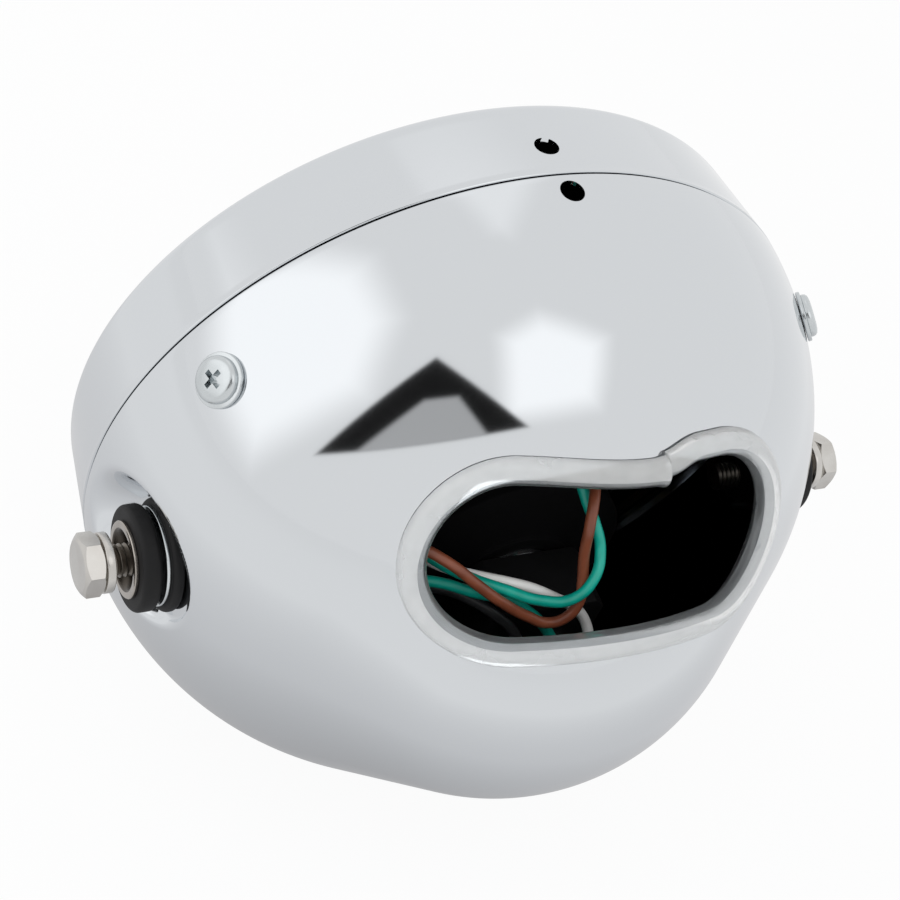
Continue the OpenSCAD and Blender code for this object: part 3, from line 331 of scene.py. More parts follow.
curl_r = bucket_r - wall - curl_w
outline = [(curl_r, bucket_front), ((curl_r + bucket_r - edge) / 2, bucket_front)]
outline += [(bucket_r - edge + edge * math.sin(a), bucket_front + edge - edge * math.cos(a))
            for a in [math.radians(15 * k) for k in range(6)]]
start = math.asin((bucket_front + edge - seam_y) / shoulder_r)
outline += [(shoulder_c + shoulder_r * math.cos(a), seam_y + shoulder_r * math.sin(a))
            for a in [start + (flank - start) * k / shoulder_rows for k in range(shoulder_rows + 1)]]
flank_run = nose_r * math.cos(flank) - shoulder_end.x
outline += [(r, (flank_offset - r * math.cos(flank)) / math.sin(flank))
            for r in [shoulder_end.x + flank_run * k / flank_rows for k in range(1, flank_rows)]]
outline += [(nose_r * math.cos(a), nose_y + nose_r * math.sin(a))
            for a in [flank + (math.pi / 2 - flank) * k / nose_rows for k in range(nose_rows)]]
outline.append((0.0, nose_y + nose_r))
bucket = spun("bucket_shell", outline, round_steps)

# the pockets: finer faces first, then the press pushes them in along the bolt's axis
floor_x, pocket_r, pocket_flare = 80.5, 15.0, math.radians(25)
side_x, fine_r, pressed_r = 60, 28, 32
floor_round, brim_round = 0.5, 4.5
select_only(bucket)
bpy.ops.object.mode_set(mode="EDIT")
bpy.ops.mesh.select_mode(type="FACE")
bpy.ops.mesh.select_all(action="DESELECT")
bpy.ops.object.mode_set(mode="OBJECT")
for face in bucket.data.polygons:
    c = face.center / MM
    face.select = abs(c.x) > side_x and math.hypot(c.y, c.z) < fine_r
bpy.ops.object.mode_set(mode="EDIT")
bpy.ops.mesh.subdivide(number_cuts=2)
bpy.ops.mesh.select_mode(type="VERT")
bpy.ops.object.mode_set(mode="OBJECT")


def soft_min(a, b, soft):
    """The smaller of two heights, rounded where they cross."""
    h = max(soft - abs(a - b), 0) / soft
    return min(a, b) - h * h * soft / 4


for vertex in bucket.data.vertices:
    p = vertex.co / MM
    reach = math.hypot(p.y, p.z)
    if abs(p.x) > side_x and reach < pressed_r and p.y > bucket_front + edge:
        skin = math.sqrt(bucket_radius(p.y) ** 2 - p.z ** 2)
        wall_x = -soft_min(-(floor_x + (reach - pocket_r) / math.tan(pocket_flare)), -floor_x, floor_round)
        vertex.co.x = math.copysign(soft_min(skin, wall_x, brim_round), p.x) * MM


def give_wall(shell, thickness):
    """Gives a shell its thickness inward. The inside and the mouth's edge take the second material."""
    select_only(shell)
    thick = shell.modifiers.new("wall", "SOLIDIFY")
    thick.thickness = thickness * MM
    thick.offset = -1
    thick.use_even_offset = True
    thick.material_offset = thick.material_offset_rim = 1
    bpy.ops.object.modifier_apply(modifier=thick.name)


give_wall(bucket, wall)

# the holes: one punch for the wiring opening and one for each round hole
opening_back, opening_r, opening_half = 18.0, 19.0, 24.8
opening_mid = Vector((
    0, shoulder_end.y + opening_back * math.cos(flank), shoulder_end.x - opening_back * math.sin(flank)))
outward = Vector((0, math.sin(flank), math.cos(flank)))
down = Vector((0, math.cos(flank), -math.sin(flank)))


def punch(position, direction, radius, depth):
    """A round punch that stands along a direction."""
    bpy.ops.object.select_all(action="DESELECT")
    bpy.ops.mesh.primitive_cylinder_add(
        vertices=64, radius=radius * MM, depth=depth * MM, location=position * MM)
    made = bpy.context.object
    made.rotation_mode = "QUATERNION"
    made.rotation_quaternion = Vector((0, 0, 1)).rotation_difference(direction)
    bpy.ops.object.transform_apply(location=True, rotation=True, scale=True)
    return made


def cut_with(piece, tool, operation="DIFFERENCE"):
    """Cuts a tool out of a piece, or keeps what the two share, and takes the tool away."""
    select_only(piece)
    cut = piece.modifiers.new("cut", "BOOLEAN")
    cut.operation = operation
    cut.solver = "EXACT"
    cut.object = tool
    bpy.ops.object.modifier_apply(modifier=cut.name)
    bpy.data.objects.remove(tool)


def shoulder_place(angle, behind):
    """A point on the shoulder, at an angle round the lamp and behind the seam, and the way out there."""
    tilt = math.asin(behind / shoulder_r)
    out = Vector((math.cos(angle) * math.cos(tilt), math.sin(tilt), math.sin(angle) * math.cos(tilt)))
    centre = Vector((math.cos(angle) * shoulder_c, seam_y, math.sin(angle) * shoulder_c))
    return centre + out * shoulder_r, out


screw_angle, screw_back, screw_hole_r = math.radians(33.7), 15.0, 2.6
bolt_hole_r, small_hole_r, small_hole_back = 4.3, 2.9, 5.1
punch_h, opening_punch_h, opening_punch_in, hair = 8, 40, 8, 1e-7
# the opening's punch is a cylinder in two halves that are drawn apart to a slot
opening_punch = punch(opening_mid - outward * opening_punch_in, outward, opening_r, opening_punch_h)
select_only(opening_punch)
bpy.ops.object.mode_set(mode="EDIT")
bpy.ops.mesh.select_all(action="SELECT")
bpy.ops.mesh.bisect(plane_co=opening_mid * MM, plane_no=(1, 0, 0))
bpy.ops.object.mode_set(mode="OBJECT")
for vertex in opening_punch.data.vertices:
    if vertex.co.x > hair:
        vertex.co.x += opening_half * MM
    elif vertex.co.x < -hair:
        vertex.co.x -= opening_half * MM
cut_with(bucket, opening_punch)
for side in (-1, 1):
    cut_with(bucket, punch(Vector((side * floor_x, 0, 0)), Vector((1, 0, 0)), bolt_hole_r, punch_h))
for angle in (screw_angle, math.pi - screw_angle):
    place, out = shoulder_place(angle, screw_back)
    cut_with(bucket, punch(place, out, screw_hole_r, punch_h))
place, out = shoulder_place(math.pi / 2, small_hole_back)
cut_with(bucket, punch(place, out, small_hole_r, punch_h))
smooth(bucket, 40)

# decorative chromium over polished steel: a mirror with faint wiping marks, which blur it
# a little in patches some 30 mm wide and in 1 mm hairlines
chrome, chrome_out = new_material("bright_chrome_plate")
chrome_place = add(chrome, "ShaderNodeTexCoord").outputs["Object"]
wiped = add(chrome, "ShaderNodeTexNoise", {"Vector": chrome_place, "Scale": 32.0, "Detail": 3.0})
hairs = add(chrome, "ShaderNodeTexNoise", {"Vector": chrome_place, "Scale": 900.0, "Detail": 2.0})
veil = add(chrome, "ShaderNodeMapRange", {"Value": wiped.outputs["Fac"], "To Min": 0.05, "To Max": 0.08})
chrome_bump = add(chrome, "ShaderNodeBump", {
    "Height": hairs.outputs["Fac"], "Strength": 0.02, "Distance": 0.00002})
chrome_shader = add(chrome, "ShaderNodeBsdfPrincipled", {
    "Base Color": linear("#D7DADD"), "Metallic": 1.0, "Roughness": veil.outputs["Result"],
    "Normal": chrome_bump.outputs["Normal"]})
chrome.node_tree.links.new(chrome_shader.outputs["BSDF"], chrome_out.inputs["Surface"])

# matt black paint, sprayed thin: almost no shine and a faint orange peel at 1.5 mm
paint, paint_out = new_material("matt_black_paint")
paint_place = add(paint, "ShaderNodeTexCoord").outputs["Object"]
peel = add(paint, "ShaderNodeTexNoise", {"Vector": paint_place, "Scale": 650.0, "Detail": 2.0})
paint_bump = add(paint, "ShaderNodeBump", {
    "Height": peel.outputs["Fac"], "Strength": 0.2, "Distance": 0.0001})
paint_shader = add(paint, "ShaderNodeBsdfPrincipled", {
    "Base Color": linear("#080808"), "Roughness": 0.9, "Specular IOR Level": 0.05,
    "Normal": paint_bump.outputs["Normal"]})
paint.node_tree.links.new(paint_shader.outputs["BSDF"], paint_out.inputs["Surface"])
bucket.data.materials.clear()
bucket.data.materials.append(chrome)
bucket.data.materials.append(paint)
finish_piece(bucket, None, "chrome_bucket", "bucket")


# Rim: spun from 1 mm steel and chromed like the bucket. Its skirt tapers forward to a
# round, the front turns back round the lens, and a lip turns in at the seam.
rim_rear, rim_depth, rim_t, taper = seam_y - seam_half, 25.4, 1.0, math.radians(7.6)
lip_r, rim_edge, lip_edge_w, lip_zone, front_turn, rim_hole_back = 86.4, 0.5, 2.6, 2, 3.5, 9.3
skirt_rows, corner_rows, rolled_rows = 12, 10, 6
rim_front = rim_rear - rim_depth
corner, opening_front_r, rolled = 4.0, 82.0, 2.0
corner_y = rim_front + corner
corner_r = bucket_r + (math.sin(taper) * (corner_y - rim_rear) - corner) / math.cos(taper)
rim_outline = [(lip_r, rim_rear), ((lip_r + bucket_r - rim_edge) / 2, rim_rear)]
rim_outline += [(bucket_r - rim_edge + rim_edge * math.sin(a), rim_rear - rim_edge + rim_edge * math.cos(a))
                for a in [math.radians(15 * k) for k in range(6)]]
skirt_end = Vector((corner_r + corner * math.cos(taper), corner_y - corner * math.sin(taper)))
skirt_start = Vector((bucket_r - rim_edge * math.tan(taper), rim_rear - rim_edge))
rim_outline += [tuple(skirt_start.lerp(skirt_end, k / skirt_rows)) for k in range(skirt_rows)]
rim_outline += [(corner_r + corner * math.cos(a), corner_y - corner * math.sin(a))
                for a in [taper + (math.pi / 2 - taper) * k / corner_rows for k in range(corner_rows + 1)]]
rolled_c = Vector((opening_front_r + rolled, rim_front + rolled))
rim_outline += [(rolled_c.x - rolled * math.sin(a), rolled_c.y - rolled * math.cos(a))
                for a in [math.pi / 2 * k / rolled_rows for k in range(rolled_rows + 1)]]
rim_outline.append((opening_front_r, rim_front + front_turn))
rim = spun("rim_shell", rim_outline, round_steps)
give_wall(rim, rim_t)
along_skirt = rim_hole_back - seam_half
hole_place = Vector((0, rim_rear - along_skirt, bucket_r - along_skirt * math.tan(taper)))
cut_with(rim, punch(hole_place, Vector((0, -math.sin(taper), math.cos(taper))), small_hole_r, punch_h))
smooth(rim, 40)
rim.data.materials.clear()
rim.data.materials.append(chrome)
rim.data.materials.append(paint)
# the lip's inner edge, seen inside the lamp, is sprayed with the inside
for face in rim.data.polygons:
    c = face.center / MM
    if math.hypot(c.x, c.z) < lip_r + lip_edge_w and c.y > rim_rear - lip_zone:
        face.material_index = 1
finish_piece(rim, None, "chrome_rim", "rim")


# Edge trim: a clear soft PVC extrusion pushed over the opening's bare edge. Its two ends
# meet in the upper edge and spring off the metal there, the left one further. It follows
# a curve on the bucket, which no spin or extrusion gives, so a grid is wrapped to it.
trim_web, trim_leg, trim_proud, trim_joint = 1.5, 5.2, 2.8, 9.5
trim_slot, trim_slot_end, trim_gap = wall / 2 + 0.4, 0.25, 0.3
lift_left, fade_left, lift_right, fade_right = 4.0, 43.0, 2.6, 10.0
bead_left, bead_right, bead_len = 1.13, 0.96, 1.6
# the leg under the metal is flatter, and the clear nose is where the oval turns past its middle
under_share, nose_turn, halvings = 0.8, -0.5, 30
slot_end_len = math.pi * opening_r
slot_len = 4 * opening_half + 2 * slot_end_len


def slot_point(d):
    """Place on the opening's outline, d millimetres from the joint, and the way out of the opening."""
    first = opening_half + trim_joint
    if d < first:
        return -trim_joint + d, -opening_r, 0.0, -1.0
    d -= first
    if d < slot_end_len:
        a = -math.pi / 2 + d / opening_r
        return opening_half + opening_r * math.cos(a), opening_r * math.sin(a), math.cos(a), math.sin(a)
    d -= slot_end_len
    if d < 2 * opening_half:
        return opening_half - d, opening_r, 0.0, 1.0
    d -= 2 * opening_half
    if d < slot_end_len:
        a = math.pi / 2 + d / opening_r
        return -opening_half + opening_r * math.cos(a), opening_r * math.sin(a), math.cos(a), math.sin(a)
    return -opening_half + d - slot_end_len, -opening_r, 0.0, -1.0


def trim_point(d):
    """A point of the trim's path, on the middle of the metal."""
    x, s, nx, ns = slot_point(d)
    near = min(d / fade_left, (slot_len - d) / fade_right, 1)
    lift = (lift_left if d < slot_len / 2 else lift_right) * math.cos(math.pi / 2 * near) ** 2
    flat = opening_mid + Vector((x - nx * lift, 0, 0)) + (s - ns * lift) * down
    low, high = -2 * opening_r, opening_r
    for _ in range(halvings):
        middle = (low + high) / 2
        p = flat + middle * outward
        if p.y < nose_y + nose_r and math.hypot(p.x, p.z) < bucket_radius(p.y):
            low = middle
        else:
            high = middle
    p = flat + low * outward
    return p - bucket_normal(p) * wall / 2


stations, oval_steps = 300, 36
path = [trim_point(trim_gap / 2 + (slot_len - trim_gap) * i / stations) for i in range(stations + 1)]
trim_mid, trim_half = (trim_leg - trim_web) / 2, (trim_leg + trim_web) / 2
trim_high = trim_proud + wall / 2
first_turn = math.asin(trim_slot / trim_high)
oval = []
for k in range(oval_steps + 1):
    a = first_turn + (2 * math.pi - 2 * first_turn) * k / oval_steps
    height = trim_high if math.sin(a) > 0 else trim_high * under_share
    oval.append((trim_mid + trim_half * math.cos(a), height * math.sin(a)))
section_count = oval_steps + 3
bpy.ops.object.select_all(action="DESELECT")
bpy.ops.mesh.primitive_grid_add(x_subdivisions=stations, y_subdivisions=section_count, size=1)
trim = bpy.context.object
trim.name = trim.data.name = "opening_edge_trim"
rows = [round((vertex.co.y + 0.5) * section_count) for vertex in trim.data.vertices]
for face in trim.data.polygons:
    row = sum(rows[v] for v in face.vertices) / 4
    if row < oval_steps:
        around = first_turn + (2 * math.pi - 2 * first_turn) * row / oval_steps
        face.material_index = 1 if math.cos(around) < nose_turn else 0
for vertex in trim.data.vertices:
    i = round((vertex.co.x + 0.5) * stations)
    j = round((vertex.co.y + 0.5) * section_count) % section_count
    p, before, after = path[i], path[max(i - 1, 0)], path[min(i + 1, stations)]
    way = (after - before).normalized()
    normal = bucket_normal(p)
    normal = (normal - normal.dot(way) * way).normalized()
    side = way.cross(normal)
    if j <= oval_steps:
        across, above = oval[j]
    else:
        depth = trim_slot_end + wall / 2 * abs(outward.dot(side)) / outward.dot(normal)
        across, above = -depth, (-trim_slot if j == oval_steps + 1 else trim_slot)
    run = trim_gap / 2 + (slot_len - trim_gap) * i / stations
    to_end = min(run, slot_len - run) / bead_len
    bead = 1 + ((bead_left if i < stations / 2 else bead_right) - 1) * math.exp(-to_end * to_end)
    middle = trim_mid * (1 - bead)
    vertex.co = (p + (across * bead + middle) * side + above * bead * normal) * MM
select_only(trim)
bpy.ops.object.mode_set(mode="EDIT")
bpy.ops.mesh.select_all(action="SELECT")
bpy.ops.mesh.remove_doubles(threshold=0.000005)
bpy.ops.mesh.select_all(action="DESELECT")
bpy.ops.mesh.select_non_manifold()
bpy.ops.mesh.fill_holes(sides=0)
bpy.ops.mesh.select_all(action="SELECT")
bpy.ops.mesh.normals_make_consistent(inside=False)
bpy.ops.object.mode_set(mode="OBJECT")
smooth(trim, 50)


def trim_pvc(name, colour, clearness):
    """Clear PVC, more or less milky, with crisp highlights and ripples some 8 mm long."""
    material, output = new_material(name)
    place = add(material, "ShaderNodeTexCoord").outputs["Object"]
    ripple = add(material, "ShaderNodeTexNoise", {"Vector": place, "Scale": 120.0, "Detail": 2.0})
    clouds = add(material, "ShaderNodeMapRange", {
        "Value": ripple.outputs["Fac"], "From Min": 0.3, "From Max": 0.7,
        "To Min": clearness - 0.02, "To Max": clearness + 0.02})
    bump = add(material, "ShaderNodeBump", {
        "Height": ripple.outputs["Fac"], "Strength": 0.15, "Distance": 0.0003})
    shader = add(material, "ShaderNodeBsdfPrincipled", {
        "Base Color": linear(colour), "Roughness": 0.07, "IOR": 1.52,
        "Transmission Weight": clouds.outputs["Result"], "Normal": bump.outputs["Normal"]})
    material.node_tree.links.new(shader.outputs["BSDF"], output.inputs["Surface"])
    return material


# the legs over the metal are milky and near white, partly the plastic's haze and partly painted light for
# the bright chrome seen through them; the nose inside the opening is clearer and tinted grey, as painted
# shade for the dark inside
trim.data.materials.append(trim_pvc("lit_milky_trim_pvc", "#FBFCFC", 0.72))
trim.data.materials.append(trim_pvc("shaded_clear_trim_pvc", "#B9BDBF", 0.93))
finish_piece(trim, None, "trim_plastic", "opening_trim")


# Lamp unit: pressed glass with a fluted inside, sealed to a silvered steel reflector. A soft
# black gasket keeps the glass off the rim, and bent wire clips press the unit forward.
def finished_copy(node, material, slot, angle=35, bevel=0.0):
    """A copy of a solid with its seams merged, its edges eased and smooth shading."""
    made = bpy.data.objects.new(node + "_finished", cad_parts[node].data.copy())
    bpy.context.scene.collection.objects.link(made)
    select_only(made)
    bpy.ops.object.mode_set(mode="EDIT")
    bpy.ops.mesh.select_all(action="SELECT")
    bpy.ops.mesh.remove_doubles(threshold=0.000002)
    bpy.ops.mesh.dissolve_limited(angle_limit=math.radians(0.5))
    bpy.ops.object.mode_set(mode="OBJECT")
    if bevel:
        ease = made.modifiers.new("ease", "BEVEL")
        ease.width = bevel * MM
        ease.segments = 2
        ease.limit_method = "ANGLE"
        ease.angle_limit = math.radians(40)
        ease.use_clamp_overlap = True
        bpy.ops.object.modifier_apply(modifier=ease.name)
    smooth(made, angle)
    finish_piece(made, material, slot, node)
    return made


lens_y, flange_t, dome_r, dome_top, lens_t, unit_r = -45.6, 3.0, 80.5, 22.0, 3.5, 86.4
flute_h, flute_w, fluted_r, glass_edge = 0.45, 9.5, 76, 0.4
dome_rows, inside_rows, lens_steps = 40, 60, 240
dome_sphere = (dome_r ** 2 + dome_top ** 2) / (2 * dome_top)
dome_centre = lens_y - dome_top + dome_sphere
half_angle = math.asin(dome_r / dome_sphere)
glass_profile = [(0, lens_y - dome_top)]
glass_profile += [(dome_sphere * math.sin(a), dome_centre - dome_sphere * math.cos(a))
                  for a in [half_angle * k / dome_rows for k in range(1, dome_rows + 1)]]
glass_profile += [
    (unit_r - glass_edge, lens_y), (unit_r, lens_y + glass_edge),
    (unit_r, lens_y + flange_t - glass_edge), (unit_r - glass_edge, lens_y + flange_t)]
inner_sphere = dome_sphere - lens_t
inner_edge = math.acos((dome_centre - lens_y - flange_t) / inner_sphere)
glass_profile += [(inner_sphere * math.sin(a), dome_centre - inner_sphere * math.cos(a))
                  for a in [inner_edge * (1 - k / inside_rows) for k in range(inside_rows)]]
glass_profile.append((0, dome_centre - inner_sphere))
lens = spun("lens_glass", glass_profile, lens_steps)
# the flutes stand on the inner face alone, inside a plain border
for vertex in lens.data.vertices:
    p = vertex.co / MM
    inside = math.sqrt(p.x ** 2 + p.z ** 2 + (p.y - dome_centre) ** 2) < inner_sphere + 0.3
    if inside and math.hypot(p.x, p.z) < fluted_r and p.y < lens_y + flange_t - 0.1:
        flute = flute_h * (1 - math.cos(2 * math.pi * p.x / flute_w))
        vertex.co.y += flute * MM
smooth(lens, 50)

# soda-lime glass pressed in a mould: clear, fire-polished, with very faint waves
glass, glass_out = new_material("pressed_lamp_glass")
glass_place = add(glass, "ShaderNodeTexCoord").outputs["Object"]
mould = add(glass, "ShaderNodeTexNoise", {"Vector": glass_place, "Scale": 60.0, "Detail": 2.0})
glass_bump = add(glass, "ShaderNodeBump", {
    "Height": mould.outputs["Fac"], "Strength": 0.1, "Distance": 0.0002})
glass_shader = add(glass, "ShaderNodeBsdfPrincipled", {
    "Base Color": linear("#F4F8F9"), "Roughness": 0.02, "IOR": 1.5, "Transmission Weight": 1.0,
    "Normal": glass_bump.outputs["Normal"]})
glass.node_tree.links.new(glass_shader.outputs["BSDF"], glass_out.inputs["Surface"])
finish_piece(lens, glass, "lens_glass", "lens")

# steel lacquered and silvered in a vacuum: a clean mirror with hardly a grain
silvered = metal("silvered_steel", "#E3E5E6", "#D6D9DB", 0.06, 0.02, 0.4)
# drawn spring wire, phosphated: near black, with a dull gleam
spring_steel = metal("phosphated_spring_wire", "#3C3D40", "#2A2B2D", 0.4, 0.06)


def rubber(name, colour, shade, roughness, gloss=0.5):
    """Moulded rubber or like plastic: satin, with a dusty bloom and a fine moulded skin."""
    material, output = new_material(name)
    place = add(material, "ShaderNodeTexCoord").outputs["Object"]
    bloom = add(material, "ShaderNodeTexNoise", {"Vector": place, "Scale": 180.0, "Detail": 4.0})
    skin = add(material, "ShaderNodeTexNoise", {"Vector": place, "Scale": 2200.0, "Detail": 2.0})
    tint = add(material, "ShaderNodeValToRGB", {"Fac": bloom.outputs["Fac"]})
    tint.color_ramp.elements[0].color = linear(shade)
    tint.color_ramp.elements[1].color = linear(colour)
    dull = add(material, "ShaderNodeMapRange", {
        "Value": bloom.outputs["Fac"], "To Min": roughness - 0.08, "To Max": roughness + 0.1})
    bump = add(material, "ShaderNodeBump", {
        "Height": skin.outputs["Fac"], "Strength": 0.25, "Distance": 0.0001})
    shader = add(material, "ShaderNodeBsdfPrincipled", {
        "Base Color": tint.outputs["Color"], "Roughness": dull.outputs["Result"], "IOR": 1.52,
        "Specular IOR Level": gloss, "Normal": bump.outputs["Normal"]})
    material.node_tree.links.new(shader.outputs["BSDF"], output.inputs["Surface"])
    return material


# carbon-black rubber: firm and satin in the gasket and pads, soft and duller in the boots
black_rubber = rubber("black_rubber", "#181819", "#101011", 0.6, 0.25)
boot_rubber = rubber("dull_boot_rubber", "#101011", "#0B0B0C", 0.75, 0.08)
# butyl sealant, run in and set: mid grey and slightly shiny
sealant = rubber("grey_sealant", "#5A5B5C", "#4A4B4C", 0.6)
reflector = finished_copy("reflector", silvered, "reflector_steel", 40)
# the back is sprayed black: its faces look away from a point in the bowl, or straight back
reflector.data.materials.append(paint)
bowl_middle = Vector((0, -20, 0))
for face in reflector.data.polygons:
    if face.normal.dot(face.center / MM - bowl_middle) > 0 or face.normal.y > 0.5:
        face.material_index = 1
finished_copy("rim_gasket", black_rubber, "gasket_rubber", 40, 0.2)
finished_copy("lens_seal", sealant, "sealant", 40)
finished_copy("unit_clips", spring_steel, "spring_wire", 60)


# Rim fixing: folded zinc-plated brackets on the rim's lip, one under each screw, and a hook
# at the bottom. The screws are cross-recessed pan heads with a plain washer.

# zinc plate, passivated: silvery on the screws, greyer and duller on the pressed brackets
bright_zinc = metal("bright_zinc_plate", "#D3D7D9", "#C2C7C9", 0.2, 0.06)
dull_zinc = metal("dull_zinc_plate", "#9A9EA1", "#7F8386", 0.35, 0.08)
pan_head = [(0, 3.0), (2.8, 2.97), (3.9, 2.86), (4.7, 2.6), (5.15, 2.15), (5.3, 1.6), (5.3, 1.15),
            (5.15, 1.0), (2.5, 1.0), (2.5, -8.4), (1.9, -9.0), (0, -9.0)]
recess_span, recess_w, recess_floor, recess_foot = 6.0, 1.6, 1.4, 0.55
recess_turn, wedge_h, screw_steps = 15, 3.0, 64


def rim_screw(angle, node):
    """A pan head spun with its shank, and a cross recess cut by two wedges that narrow downward."""
    made = spun(node + "_finished", pan_head, screw_steps, "Z")
    for turn in (math.radians(recess_turn), math.radians(recess_turn + 90)):
        bpy.ops.object.select_all(action="DESELECT")
        bpy.ops.mesh.primitive_cube_add(size=MM, location=(0, 0, (recess_floor + wedge_h / 2) * MM))
        wedge = bpy.context.object
        for corner_point in wedge.data.vertices:
            narrow = 1.0 if corner_point.co.z > 0 else recess_foot
            corner_point.co.x *= recess_span * narrow
            corner_point.co.y *= recess_w * narrow
            corner_point.co.z *= wedge_h
        wedge.rotation_euler.z = turn
        bpy.ops.object.transform_apply(location=True, rotation=True, scale=True)
        cut_with(made, wedge)
    seat, out = shoulder_place(angle, screw_back)
    tilted = Vector((0, 0, 1)).rotation_difference(out).to_matrix().to_4x4()
    made.data.transform(Matrix.Translation(seat * MM) @ tilted)
    smooth(made, 30)
    finish_piece(made, bright_zinc, "zinc_fixing", node)


for side, angle in (("left", screw_angle), ("right", math.pi - screw_angle)):
    finished_copy("rim_bracket_" + side, dull_zinc, "zinc_bracket", 35, 0.15)
    finished_copy("rim_nut_" + side, bright_zinc, "zinc_fixing", 35, 0.15)
    rim_screw(angle, "rim_screw_" + side)
    finished_copy("rim_washer_" + side, bright_zinc, "zinc_fixing", 35, 0.2)
finished_copy("rim_hook", dull_zinc, "zinc_bracket", 35, 0.15)


# Bulb, boot and plug: a three-bladed halogen bulb held by a wire clip. A rubber boot closes
# the reflector's back round it, and a moulded plug is pushed over the blades.

# nickel-plated steel: pale, and a little dull
bulb_steel = metal("plated_bulb_steel", "#B8BBBD", "#9EA2A5", 0.25, 0.06)
# drawn quartz glass: as clear as the lens
bulb_clear = glass.copy()
bulb_clear.name = "clear_bulb_glass"
# moulded polyamide, coloured through: black, a touch shinier than the boot
plug_pa = rubber("black_moulded_nylon", "#141415", "#101011", 0.6, 0.15)
finished_copy("bulb_base", bulb_steel, "bulb_metal", 35, 0.1)
finished_copy("bulb_glass", bulb_clear, "bulb_glass", 35)
finished_copy("bulb_filaments", bulb_steel, "filament_metal", 35)
finished_copy("bulb_clip", spring_steel, "spring_wire", 60)
finished_copy("bulb_boot", boot_rubber, "boot_rubber", 50, 0.4)
finished_copy("bulb_plug", plug_pa, "plug_plastic", 35, 0.4)
finished_copy("pilot_bulb", bulb_clear, "bulb_glass", 35)
finished_copy("pilot_holder", boot_rubber, "boot_rubber", 35, 0.3)


# Side fixings: on each side a stainless M8 bolt goes through a spring washer, a flared sleeve
# in a rubber grommet, a plate washer and a rubber pad into a nut that is welded inside the
# bucket and painted with it.

# stainless steel, cold headed: warm grey with a soft shine; the rolled thread is rougher, and painted darker
# as painted shade in its grooves and inside the bucket
stainless = metal("plain_stainless_steel", "#D1CFCB", "#BFBBB6", 0.22, 0.05)
shaded_thread = metal("shaded_stainless_thread", "#8B857D", "#6D6760", 0.32, 0.06)
# turned steel, plated: a warmer grey outside, and in the bore the same plate painted dark brown-grey, as
# painted shade inside the sleeve
sleeve_steel = metal("plated_sleeve_steel", "#BDB7B0", "#A09A93", 0.2, 0.06)
shaded_bore = metal("shaded_sleeve_bore", "#5E5851", "#423D38", 0.3, 0.06)
sleeve_profile = [(5.3, 84.4), (6.4, 84.4), (6.4, 89.6), (6.6, 89.9), (7.0, 90.0), (8.8, 90.0),
                  (9.0, 90.2), (9.0, 90.75), (8.85, 90.95), (8.6, 91.0), (7.4, 91.0), (7.1, 90.9),
                  (6.8, 90.6), (6.3, 89.9), (5.8, 88.9), (5.4, 87.6), (5.3, 86.4)]
# the bore's faces look toward the bolt's axis, so their direction times their place is negative
sleeve_steps, bore_turn = 96, -0.0015


def side_bolt(side, node):
    """A hexagon head cut to shape by two cones, on a shank whose thread is screwed up from one pitch."""
    head_x, head_h, af, length, pitch = 96.5, 5.0, 13.0, 30.0, 1.25
    top_r, top_slope, under_r, under_slope, cone_steps = af * 0.45, 1.75, af * 0.465, 1.6, 96
    root_r, thread_h, flank_share, crest_share, thread_steps, plain_end = 3.35, 0.55, 0.42, 0.16, 32, 1.5
    bpy.ops.object.select_all(action="DESELECT")
    bpy.ops.mesh.primitive_cylinder_add(vertices=6, radius=af / math.sqrt(3) * MM, depth=head_h * MM)
    head = bpy.context.object
    for low_r, high_r in ((top_r + head_h * top_slope, top_r), (under_r, under_r + head_h * under_slope)):
        bpy.ops.object.select_all(action="DESELECT")
        bpy.ops.mesh.primitive_cone_add(
            vertices=cone_steps, radius1=low_r * MM, radius2=high_r * MM, depth=head_h * MM)
        cut_with(head, bpy.context.object, "INTERSECT")
    for vertex in head.data.vertices:
        vertex.co.z += (head_x + head_h / 2) * MM
    bpy.ops.object.select_all(action="DESELECT")
    bpy.ops.mesh.primitive_plane_add(size=MM)
    shank = bpy.context.object
    bpy.ops.object.mode_set(mode="EDIT")
    bpy.ops.mesh.select_all(action="SELECT")
    bpy.ops.mesh.merge(type="CENTER")
    bpy.ops.transform.translate(value=(root_r * MM, 0, (head_x - length) * MM))
    flank_h = pitch * flank_share
    for dr, dz in ((thread_h, flank_h), (0.0, pitch * crest_share), (-thread_h, flank_h)):
        bpy.ops.mesh.extrude_region_move(TRANSFORM_OT_translate={"value": (dr * MM, 0, dz * MM)})
    bpy.ops.object.mode_set(mode="OBJECT")
    helix = shank.modifiers.new("thread", "SCREW")
    helix.axis = "Z"
    helix.screw_offset = pitch * MM
    helix.iterations = int((length - plain_end) / pitch)
    helix.steps = helix.render_steps = thread_steps
    helix.use_merge_vertices = True
    helix.merge_threshold = 0.00001
    select_only(shank)
    bpy.ops.object.modifier_apply(modifier=helix.name)
    bpy.ops.object.mode_set(mode="EDIT")
    bpy.ops.mesh.select_all(action="DESELECT")
    bpy.ops.mesh.select_non_manifold()
    bpy.ops.mesh.fill_holes(sides=0)
    bpy.ops.mesh.select_all(action="SELECT")
    bpy.ops.mesh.normals_make_consistent(inside=False)
    bpy.ops.object.mode_set(mode="OBJECT")
    head.data.materials.append(stainless)
    # the thread takes the darker plate, which is painted shade
    shank.data.materials.append(shaded_thread)
    select_only(head, shank)
    bpy.ops.object.join()
    head.name = head.data.name = node + "_finished"
    quarter = math.radians(90 * side)
    head.data.transform(Matrix.Rotation(quarter, 4, "Y") @ Matrix.Rotation(quarter, 4, "Z"))
    smooth(head, 15)
    finish_piece(head, None, "bolt_steel", node)


